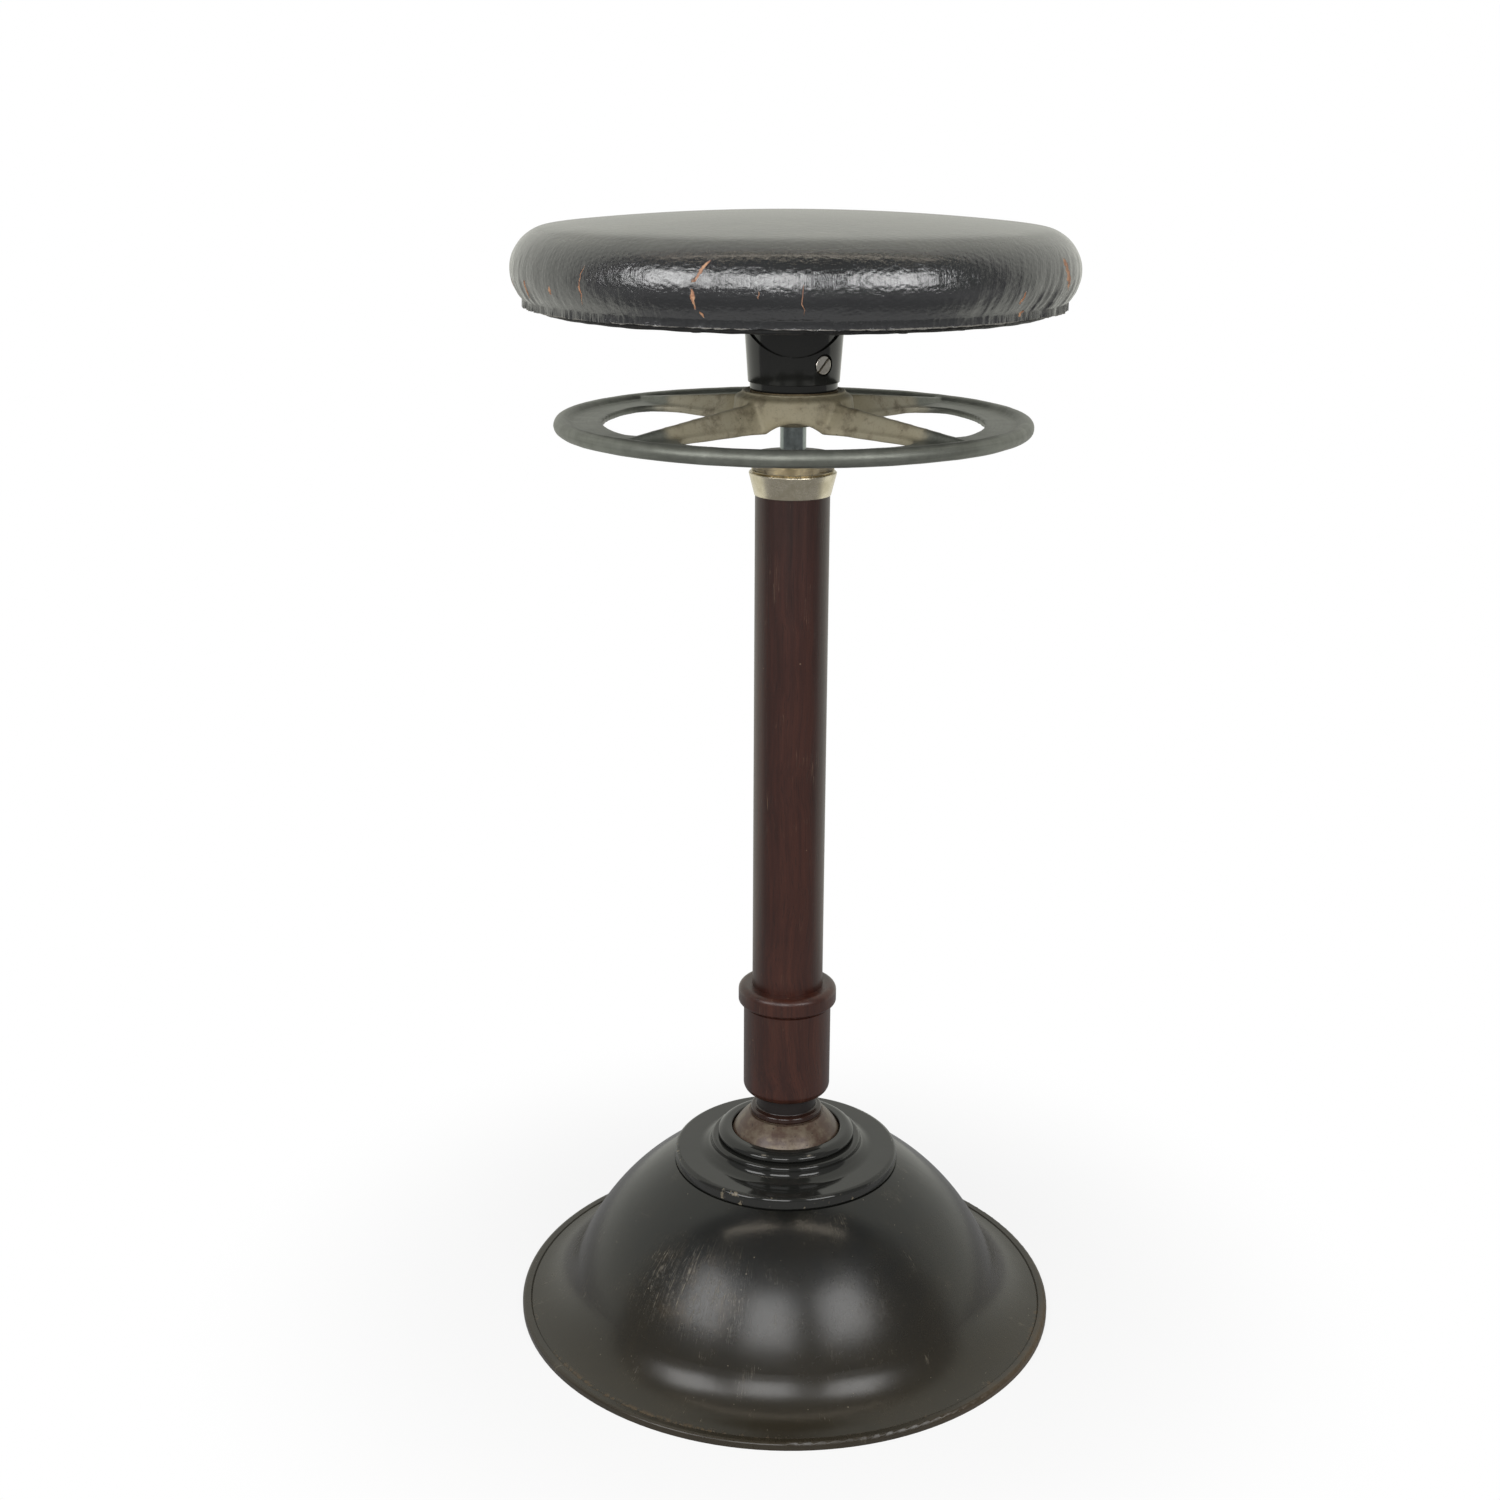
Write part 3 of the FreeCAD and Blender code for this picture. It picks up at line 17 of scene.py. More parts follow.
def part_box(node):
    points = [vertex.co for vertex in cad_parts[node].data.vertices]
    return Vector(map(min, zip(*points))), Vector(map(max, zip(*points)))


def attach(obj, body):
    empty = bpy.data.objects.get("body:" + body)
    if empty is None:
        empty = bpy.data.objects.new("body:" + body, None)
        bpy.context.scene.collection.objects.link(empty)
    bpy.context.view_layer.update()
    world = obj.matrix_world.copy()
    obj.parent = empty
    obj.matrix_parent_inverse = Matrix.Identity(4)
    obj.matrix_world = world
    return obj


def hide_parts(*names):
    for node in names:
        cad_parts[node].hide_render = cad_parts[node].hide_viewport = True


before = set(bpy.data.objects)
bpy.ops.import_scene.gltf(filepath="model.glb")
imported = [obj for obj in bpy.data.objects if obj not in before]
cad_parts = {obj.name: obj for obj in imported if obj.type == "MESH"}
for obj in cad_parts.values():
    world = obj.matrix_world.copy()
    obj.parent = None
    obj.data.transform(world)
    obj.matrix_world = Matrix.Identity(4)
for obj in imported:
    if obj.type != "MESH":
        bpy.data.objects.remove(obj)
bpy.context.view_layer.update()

LOG = logging.getLogger("stool")
MM = 0.001

Rgb = tuple[float, float, float]
Term = Union[float, "Signal"]


class Element(Enum):
    """Kind of mesh element that a selection is made of."""

    VERT = "VERT"
    EDGE = "EDGE"
    FACE = "FACE"


class Grain(Enum):
    """Axis that a streaked pattern runs along."""

    UPRIGHT = (1.0, 1.0, 0.03)
    ACROSS = (0.04, 1.0, 1.0)
    ROUND = (1.0, 1.0, 12.0)
    LEVEL = (1.0, 1.0, 1.5)


class Signal:
    """A shader socket that takes part in Python arithmetic, each operation adding a Math node."""

    def __init__(self, graph: "Graph", socket: bpy.types.NodeSocket) -> None:
        """Wraps one output socket of a graph."""
        self.graph = graph
        self.socket = socket

    def __add__(self, other: Term) -> "Signal":
        """Sum."""
        return self.graph.math("ADD", self, other)

    def __sub__(self, other: Term) -> "Signal":
        """Difference."""
        return self.graph.math("SUBTRACT", self, other)

    def __rsub__(self, other: Term) -> "Signal":
        """Difference from a number."""
        return self.graph.math("SUBTRACT", other, self)

    def __mul__(self, other: Term) -> "Signal":
        """Product."""
        return self.graph.math("MULTIPLY", self, other)

    def __truediv__(self, other: Term) -> "Signal":
        """Quotient."""
        return self.graph.math("DIVIDE", self, other)

    def __pow__(self, other: Term) -> "Signal":
        """Power."""
        return self.graph.math("POWER", self, other)

    __radd__ = __add__
    __rmul__ = __mul__

    def __abs__(self) -> "Signal":
        """Size without its sign."""
        return self.graph.math("ABSOLUTE", self)

    def larger(self, other: Term) -> "Signal":
        """The larger of two values."""
        return self.graph.math("MAXIMUM", self, other)

    def smaller(self, other: Term) -> "Signal":
        """The smaller of two values."""
        return self.graph.math("MINIMUM", self, other)

    def step(self, low: float, high: float) -> "Signal":
        """Soft step.

        Args:
            low: Value that gives 0.
            high: Value that gives 1.

        Returns:
            The smooth rise between the two, or the fall where low is above high.
        """
        made = self.graph.node("ShaderNodeMapRange", {"interpolation_type": "SMOOTHSTEP"},
                               {"Value": self, "From Min": low, "From Max": high})
        return Signal(self.graph, made.outputs[0])

    def near(self, middle: Term, reach: float) -> "Signal":
        """1 at a middle value, falling softly to 0 at a reach either side."""
        return abs(self - middle).step(reach, 0.0)


class Graph:
    """Node tree of one material or of the world."""

    def __init__(self, tree: bpy.types.NodeTree) -> None:
        """Clears a tree and starts on it."""
        tree.nodes.clear()
        self.tree = tree

    def node(self, kind: str, settings: Optional[dict] = None,
             inputs: Optional[dict] = None) -> bpy.types.Node:
        """Adds a node.

        Args:
            kind: Type of the node.
            settings: Its properties, or the stops of its ramp, set first.
            inputs: Values or signals by socket name or number.

        Returns:
            The node.
        """
        made = self.tree.nodes.new(kind)
        for name, value in (settings or {}).items():
            if name == "stops":
                self._set_stops(made.color_ramp, value)
            else:
                setattr(made, name, value)
        for key, value in (inputs or {}).items():
            socket = made.inputs[key]
            if isinstance(value, Signal):
                self.tree.links.new(value.socket, socket)
            elif socket.type == "RGBA" and len(value) == 3:
                socket.default_value = (*value, 1.0)
            else:
                socket.default_value = value
        return made

    @staticmethod
    def _set_stops(ramp: bpy.types.ColorRamp, stops: Sequence[tuple[float, Rgb]]) -> None:
        """Gives a ramp its places and colours.

        Args:
            ramp: Ramp as Blender makes it, with two stops.
            stops: Place and colour of each stop.
        """
        while len(ramp.elements) < len(stops):
            ramp.elements.new(0.5)
        for element, (place, colour) in zip(ramp.elements, stops):
            element.position = place
            element.color = (*colour, 1.0)

    def math(self, operation: str, *terms: Term) -> Signal:
        """Math node on values."""
        made = self.node("ShaderNodeMath", {"operation": operation}, dict(enumerate(terms)))
        return Signal(self, made.outputs[0])

    def place(self) -> Signal:
        """Object coordinates, which are metres in the stool's own frame."""
        return Signal(self, self.node("ShaderNodeTexCoord").outputs["Object"])

    def split(self, vector: Signal) -> tuple[Signal, Signal, Signal]:
        """The three parts of a vector."""
        made = self.node("ShaderNodeSeparateXYZ", inputs={0: vector})
        return tuple(Signal(self, socket) for socket in made.outputs)

    def join(self, x: Term, y: Term, z: Term) -> Signal:
        """Vector of three parts."""
        return Signal(self, self.node("ShaderNodeCombineXYZ", inputs={0: x, 1: y, 2: z}).outputs[0])

    def turned(self, x: Signal, y: Signal) -> Signal:
        """Angle round the stool in degrees, 0 at the front and growing to the right."""
        return self.math("ARCTAN2", x, 0.0 - y) * math.degrees(1.0)

    def unrolled(self, radius: float, slope: float = 0.0) -> Signal:
        """Sheet coordinates of a turned surface.

        Args:
            radius: Radius at which lengths round it are true.
            slope: How much of a length along the sheet lies outward rather than down.

        Returns:
            Length round the surface, and length up it.
        """
        x, y, z = self.split(self.place())
        outward = (x * x + y * y) ** 0.5
        return self.join(self.turned(x, y) * math.radians(radius), z * (1.0 - slope) - outward * slope, 0.0)

    def mapped(self, vector: Signal, scale: Rgb, turn_deg: Rgb = (0.0, 0.0, 0.0)) -> Signal:
        """Vector turned and then scaled along each axis."""
        made = self.node("ShaderNodeMapping", {"vector_type": "POINT"},
                         {"Vector": vector, "Scale": scale, "Rotation": tuple(map(math.radians, turn_deg))})
        return Signal(self, made.outputs[0])

    def noise(self, vector: Signal, scale: float, detail: float = 2.0, rough: float = 0.5) -> Signal:
        """Cloudy noise about 0.5, with scale features to the metre."""
        made = self.node("ShaderNodeTexNoise", {"noise_dimensions": "3D"},
                         {"Vector": vector, "Scale": scale, "Detail": detail, "Roughness": rough})
        return Signal(self, made.outputs[0])

    def cells(self, vector: Signal, scale: float, feature: str = "F1") -> tuple[Signal, Signal]:
        """Cell pattern.

        Args:
            vector: Place that it is read at.
            scale: Cells to the metre.
            feature: What is measured in a cell.

        Returns:
            The measure, and a number drawn for each cell.
        """
        made = self.node("ShaderNodeTexVoronoi", {"feature": feature}, {"Vector": vector, "Scale": scale})
        measure = Signal(self, made.outputs["Distance"])
        if feature != "F1":
            return measure, measure
        drawn = self.node("ShaderNodeSeparateColor", inputs={0: Signal(self, made.outputs["Color"])})
        return measure, Signal(self, drawn.outputs[0])

    def mix(self, factor: Term, first: Union[Rgb, Signal], second: Union[Rgb, Signal]) -> Signal:
        """Colour between two colours."""
        made = self.node("ShaderNodeMix", {"data_type": "RGBA"}, {0: factor, 6: first, 7: second})
        return Signal(self, made.outputs[2])

    def ramp(self, factor: Signal, *stops: tuple[float, Rgb]) -> Signal:
        """Colour looked up along a ramp."""
        made = self.node("ShaderNodeValToRGB", {"stops": stops}, {0: factor})
        return Signal(self, made.outputs[0])

    def bump(self, height: Signal, depth: float, under: Optional[Signal] = None) -> Signal:
        """Normal bent by a height.

        Args:
            height: Height from 0 to 1.
            depth: Metres that 1 stands for.
            under: Normal that it is laid on.

        Returns:
            The bent normal.
        """
        inputs = {"Height": height, "Distance": depth}
        if under:
            inputs["Normal"] = under
        return Signal(self, self.node("ShaderNodeBump", inputs=inputs).outputs[0])

    def scratches(self, sheet: Signal, turn_deg: float, across: float, along: float,
                  width: float) -> Signal:
        """Thin, nearly straight lines.

        Args:
            sheet: Sheet coordinates that they are read at.
            turn_deg: How the lines are turned from upright.
            across: Lines to the metre.
            along: Wanderings to the metre of a line.
            width: Share of the spacing that a line takes.

        Returns:
            1 on the lines and 0 between them.
        """
        field = self.noise(self.mapped(sheet, (across, along, across), (0.0, 0.0, turn_deg)), 1.0, 1.0)
        return field.near(0.5, width)

    def specks(self, vector: Signal, scale: float, size: float, share: float) -> Signal:
        """Scattered round specks.

        Args:
            vector: Place that they are read at.
            scale: Cells to the metre.
            size: Radius of a speck as a part of a cell.
            share: Part of the cells that hold one.

        Returns:
            1 on the specks and 0 elsewhere.
        """
        distance, drawn = self.cells(vector, scale)
        return distance.step(size, size * 0.6) * drawn.step(1.0 - share, 1.02 - share)

    def surface(self, **sockets: Union[Term, Rgb]) -> None:
        """Principled surface with sockets by name, underscores standing for spaces."""
        inputs = {name.replace("_", " "): value for name, value in sockets.items()}
        made = self.node("ShaderNodeBsdfPrincipled", inputs=inputs)
        self.node("ShaderNodeOutputMaterial", inputs={0: Signal(self, made.outputs[0])})


class Finish:
    """A procedural surface, painted once and shared by all its pieces."""

    name: str
    made: ClassVar[dict[str, bpy.types.Material]] = {}

    def paint(self, g: Graph) -> None:
        """Adds the nodes of the finish."""
        raise NotImplementedError

    def material(self) -> bpy.types.Material:
        """The finish's material, made at first use."""
        if self.name not in self.made:
            made = bpy.data.materials.new(self.name)
            made.use_nodes = True
            self.paint(Graph(made.node_tree))
            self.made[self.name] = made
        return self.made[self.name]

    def dress(self, *nodes: str) -> None:
        """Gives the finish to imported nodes.

        Args:
            nodes: Names of the nodes.
        """
        for node in nodes:
            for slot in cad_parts[node].material_slots:
                slot.material = self.material()


@dataclass(frozen=True)
class BellEnamel(Finish):
    """Black-brown enamel of the bell, chipped along the rim's groove and scratched on the dome, with a
    patch of painted highlight among the scratches where the left window reflects.
    """

    name: str = "bell_enamel"
    rim_radius: float = 0.189
    lip: float = 7.0 * MM
    black: Rgb = (0.0095, 0.0100, 0.0092)
    brown: Rgb = (0.0330, 0.0262, 0.0150)
    rubbed: Rgb = (0.1000, 0.0680, 0.0360)
    dust: Rgb = (0.3000, 0.2600, 0.1900)

    def paint(self, g: Graph) -> None:
        """Adds the nodes of the enamel.

        Args:
            g: Graph that they go in.
        """
        place = g.place()
        x, y, z = g.split(place)
        radius = (x * x + y * y) ** 0.5
        turn = g.turned(x, y)
        sheet = g.unrolled(0.14, 0.5)
        cloud = g.noise(place, 8.0, 4.0, 0.6)
        mottle = g.noise(place, 55.0, 6.0, 0.68)
        grit = g.noise(place, 260.0, 4.0, 0.65)
        aged = (cloud * 0.55 + mottle * 0.45).step(0.40, 0.66)
        groove = self.rim_radius - self.lip
        rusty = turn.near(66.0, 46.0) * 0.75 + 0.10
        rim = (radius + (mottle - 0.5) * 0.012).step(groove, self.rim_radius) * rusty
        often = turn.near(-38.0, 48.0) * 0.13 + turn.near(70.0, 40.0) * 0.08
        chips = radius.near(groove, 3.0 * MM) * (grit * 0.6 + mottle * 0.4 + often).step(0.58, 0.66)
        lines = g.scratches(sheet, 38.0, 520.0, 26.0, 0.007)
        lines = lines.larger(g.scratches(sheet, -52.0, 430.0, 24.0, 0.006))
        lines = lines.larger(g.scratches(sheet, 78.0, 480.0, 20.0, 0.006)) * grit.step(0.38, 0.55)
        # Worn patch where the left window's highlight falls: real rubbing and scratches, and partly painted
        # highlight, a golden tint and pale scratches standing in for the glint there.
        worn_glint_patch = turn.near(-31.0, 26.0) * z.near(0.066, 0.032)
        worn = lines * (worn_glint_patch * 0.8 + mottle.step(0.56, 0.68) * 0.35)
        specks = g.specks(place, 230.0, 0.10, 0.16).larger(g.specks(place, 75.0, 0.045, 0.12))
        outer = radius.step(0.11, 0.175)
        colour = g.mix((aged * 0.25 + outer * 0.70).smaller(1.0), self.black, self.brown)
        colour = g.mix(worn_glint_patch * mottle.step(0.45, 0.7) * 0.30, colour, self.rubbed)
        colour = g.mix((rim + chips * 0.8).smaller(1.0), colour, self.rubbed)
        colour = g.mix((worn + specks * 0.55).smaller(1.0), colour, self.dust)
        dulled = z.step(0.101, 0.084)
        rough = grit * 0.05 + cloud * 0.06 + 0.10 + dulled * 0.11 + (rim + chips) * 0.2 + worn * 0.15
        swell = g.bump(g.noise(place, 26.0, 2.0), 0.30 * MM)
        peel = g.bump(g.noise(place, 420.0, 3.0, 0.6), 0.035 * MM, swell)
        marked = g.bump(1.0 - worn - chips * 0.8, 0.06 * MM, peel)
        g.surface(Base_Color=colour, Roughness=rough, Normal=marked, IOR=1.52)


@dataclass(frozen=True)
class GlossEnamel(Finish):
    """Gloss black enamel, chipped to brown along one sharp edge."""

    name: str
    chip_radius: float
    sheet_radius: float
    black: Rgb = (0.0185, 0.0188, 0.0170)
    chipped: Rgb = (0.2000, 0.1700, 0.1200)

    def paint(self, g: Graph) -> None:
        """Adds the nodes of the enamel.

        Args:
            g: Graph that they go in.
        """
        place = g.place()
        x, y = g.split(place)[:2]
        radius = (x * x + y * y) ** 0.5
        mottle = g.noise(place, 70.0, 5.0, 0.62)
        turn = g.turned(x, y)
        edge = radius.step(self.chip_radius - 3.2 * MM, self.chip_radius - 1.0 * MM)
        often = turn.near(-27.0, 16.0) * 0.13 + turn.near(-95.0, 40.0) * 0.10
        chips = edge * (g.noise(place, 240.0, 4.0, 0.65) + often).step(0.66, 0.71)
        dust = g.specks(place, 240.0, 0.09, 0.06) * 0.25
        sheet = g.unrolled(self.sheet_radius, 0.5)
        hair = g.scratches(sheet, 40.0, 600.0, 9.0, 0.007) * mottle.step(0.55, 0.7)
        colour = g.mix((chips + dust + hair * 0.25).smaller(1.0), self.black, self.chipped)
        rough = mottle * 0.06 + 0.055 + chips * 0.3 + hair * 0.1
        swell = g.bump(g.noise(place, 45.0, 2.0), 0.12 * MM)
        g.surface(Base_Color=colour, Roughness=rough, Normal=g.bump(1.0 - chips, 0.10 * MM, swell), IOR=1.5)


@dataclass(frozen=True)
class BallEnamel(Finish):
    """Brown enamel of the ball, worn to a dull bronze where it rubs, with a neck painted black, partly as
    its own paint and partly as painted shade under the collar.
    """

    name: str = "ball_enamel"
    bead_level: float = 0.145
    brown: Rgb = (0.0780, 0.0440, 0.0300)
    olive: Rgb = (0.1700, 0.1340, 0.0950)
    black: Rgb = (0.0150, 0.0105, 0.0095)
    red: Rgb = (0.0300, 0.0120, 0.0080)

    def paint(self, g: Graph) -> None:
        """Adds the nodes of the enamel.

        Args:
            g: Graph that they go in.
        """
        place = g.place()
        z = g.split(place)[2]
        mottle = g.noise(place, 110.0, 6.0, 0.72)
        blotch = g.noise(place, 48.0, 3.0)
        rings = g.noise(g.mapped(place, Grain.ROUND.value), 55.0, 3.0)
        rub = (mottle * 0.6 + blotch * 0.3 + rings * 0.1).step(0.43, 0.60)
        bead = z.step(self.bead_level - 0.5 * MM, self.bead_level)
        neck_paint_and_shade = z.step(self.bead_level + 4.6 * MM, self.bead_level + 5.4 * MM)
        colour = g.mix(rub, self.brown, self.olive)
        colour = g.mix(g.specks(place, 340.0, 0.24, 0.22) * 0.7, colour, self.black)
        colour = g.mix(bead, colour, self.red)
        # The neck is painted black: partly its own black paint, partly painted shade under the collar.
        colour = g.mix(neck_paint_and_shade, colour, self.black)
        rough = (mottle * 0.22 + 0.24) * (1.0 - bead * 0.5) + neck_paint_and_shade * 0.2
        lines = g.bump(rings, 0.05 * MM)
        g.surface(Base_Color=colour, Roughness=rough, Metallic=rub * 0.35 * (1.0 - bead),
                  Normal=g.bump(mottle * (1.0 - bead), 0.10 * MM, lines), IOR=1.5)


@dataclass(frozen=True)
class Mahogany(Finish):
    """Dark red-brown mahogany with upright grain, pores, a satin varnish and years of small knocks."""

    name: str
    red: float
    dark: Rgb = (0.0130, 0.0035, 0.0022)
    middle: Rgb = (0.0370, 0.0095, 0.0055)
    light: Rgb = (0.0760, 0.0210, 0.0110)
    knock: Rgb = (0.2300, 0.1400, 0.0850)

    def paint(self, g: Graph) -> None:
        """Adds the nodes of the wood.

        Args:
            g: Graph that they go in.
        """
        place = g.place()
        x, y, z = g.split(place)
        wander = g.noise(place, 9.0, 2.0) * 0.03
        drift = g.join(x + wander, y + wander * 0.7, z)
        ribbon = g.noise(g.mapped(drift, (70.0, 70.0, 2.2)), 1.0, 4.0, 0.6)
        streak = g.noise(g.mapped(drift, (420.0, 420.0, 9.0)), 1.0, 3.0, 0.65)
        pores = g.noise(g.mapped(drift, (1500.0, 1500.0, 45.0)), 1.0, 1.0).step(0.60, 0.70)
        cloud = g.noise(place, 14.0, 3.0)
        tone = ribbon * 0.55 + streak * 0.30 + cloud * 0.15 + (self.red - 0.5) * 0.10
        colour = g.ramp(tone, (0.30, self.dark), (0.50, self.middle), (0.72, self.light))
        colour = g.mix(pores * 0.5, colour, self.dark)
        sheet = g.unrolled(0.0243)
        lines = g.scratches(sheet, 7.0, 420.0, 9.0, 0.006) * g.noise(place, 30.0).step(0.56, 0.66)
        marks = g.scratches(sheet, 68.0, 420.0, 16.0, 0.008) * g.noise(place, 42.0).step(0.60, 0.70)
        knocks = (lines * 0.5 + marks * 0.6 + g.specks(place, 170.0, 0.12, 0.05)).smaller(1.0)
        colour = g.mix(knocks * 0.8, colour, self.knock)
        rough = streak * 0.12 + 0.26 + cloud * 0.10 + knocks * 0.2
        grain = g.bump(1.0 - pores, 0.03 * MM, g.bump(g.noise(place, 60.0, 2.0), 0.10 * MM))
        g.surface(Base_Color=colour, Roughness=rough, Coat_Weight=0.12, Coat_Roughness=0.18,
                  Normal=g.bump(1.0 - knocks, 0.06 * MM, grain), IOR=1.5)


@dataclass(frozen=True)
class Plate(Finish):
    """Bare or plated metal with fine marks along one direction and a dulling of age."""

    name: str
    bright: Rgb
    dull: Rgb
    smooth: float
    spread: float
    grain: Grain = Grain.ROUND
    marks: float = 0.04 * MM

    def paint(self, g: Graph) -> None:
        """Adds the nodes of the metal.

        Args:
            g: Graph that they go in.
        """
        place = g.place()
        age = g.noise(place, 90.0, 6.0, 0.7)
        fine = g.noise(g.mapped(place, self.grain.value), 420.0, 2.0, 0.6)
        spots = g.specks(place, 420.0, 0.16, 0.08)
        tarnish = (age * 0.8 + fine * 0.2).step(0.38, 0.68)
        colour = g.mix((tarnish + spots * 0.6).smaller(1.0), self.bright, self.dull)
        rough = age * self.spread + fine * self.spread * 0.5 + self.smooth + spots * 0.2
        g.surface(Base_Color=colour, Metallic=1.0, Roughness=rough, Normal=g.bump(fine, self.marks))


@dataclass(frozen=True)
class CastMetal(Finish):
    """Cast wheel: pewter-grey burnished rim, and a hub and spokes under an old tan lacquer."""

    name: str = "cast_wheel_metal"
    window_radius: float = 0.1214
    pewter: Rgb = (0.2150, 0.2250, 0.1950)
    dark_pewter: Rgb = (0.1350, 0.1410, 0.1210)
    tan: Rgb = (0.2650, 0.2280, 0.1380)
    pale: Rgb = (0.3700, 0.3400, 0.2500)
    grime: Rgb = (0.1000, 0.0770, 0.0440)

    def paint(self, g: Graph) -> None:
        """Adds the nodes of the casting.

        Args:
            g: Graph that they go in.
        """
        place = g.place()
        x, y, z = g.split(place)
        radius = (x * x + y * y) ** 0.5
        mottle = g.noise(place, 85.0, 6.0, 0.68)
        sand = g.noise(place, 620.0, 4.0, 0.7)
        cloud = g.noise(place, 24.0, 3.0)
        ragged = radius + (mottle - 0.5) * 0.012
        spokes = ragged.step(self.window_radius - 2.0 * MM, self.window_radius - 14.0 * MM)
        pits = g.specks(place, 420.0, 0.20, 0.05).larger(g.specks(place, 150.0, 0.13, 0.04))
        lacquer = g.mix(cloud.step(0.35, 0.65) * 0.4 + radius.step(0.04, 0.08) * 0.6, self.tan, self.pale)
        stain = mottle.step(0.47, 0.72) * 0.70 + sand.step(0.52, 0.72) * 0.28 + pits * 0.9
        lacquer = g.mix(stain.smaller(1.0), lacquer, self.grime)
        turned = g.noise(g.join(radius * 700.0, z * 700.0, g.turned(x, y) * 0.05), 1.0, 2.0, 0.5)
        burnish = (mottle * 0.5 + turned * 0.25 + cloud * 0.25).step(0.34, 0.66)
        rim = g.mix(burnish, self.dark_pewter, self.pewter)
        colour = g.mix(spokes, rim, lacquer)
        rough = 0.36 + sand * 0.12 + spokes * 0.12
        cast = g.bump(sand, 0.06 * MM, g.bump(g.noise(place, 110.0, 3.0), 0.18 * MM))
        g.surface(Base_Color=colour, Metallic=0.55 - spokes * 0.35, Roughness=rough,
                  Normal=g.bump(1.0 - pits * spokes, 0.20 * MM, cast))


@dataclass(frozen=True)
class Crack:
    """A split in the leather, as it runs down the seat's side."""

    turn_deg: float
    low: float
    high: float
    width_deg: float
    lean_deg: float = 0.0


CRACKS = (
    Crack(-19.3, 0.711, 0.727, 0.42, -0.3),
    Crack(-18.2, 0.726, 0.742, 0.50, 3.4),
    Crack(-18.2, 0.708, 0.713, 0.30),
    Crack(-44.5, 0.708, 0.738, 0.20, 2.0),
    Crack(-54.5, 0.715, 0.722, 0.55),
    Crack(-66.5, 0.709, 0.724, 0.60, 1.0),
    Crack(-80.0, 0.708, 0.722, 0.90),
    Crack(-88.0, 0.710, 0.724, 0.50),
    Crack(-7.5, 0.719, 0.725, 0.12),
    Crack(0.6, 0.708, 0.731, 0.10),
    Crack(46.5, 0.712, 0.722, 0.45),
    Crack(48.5, 0.705, 0.710, 0.50),
    Crack(64.0, 0.714, 0.740, 1.30, -3.0),
    Crack(118.0, 0.712, 0.733, 0.35, 1.5),
    Crack(151.0, 0.708, 0.720, 0.55),
    Crack(-124.0, 0.710, 0.730, 0.45, -2.0),
    Crack(-160.0, 0.714, 0.736, 0.25, 2.0),
)


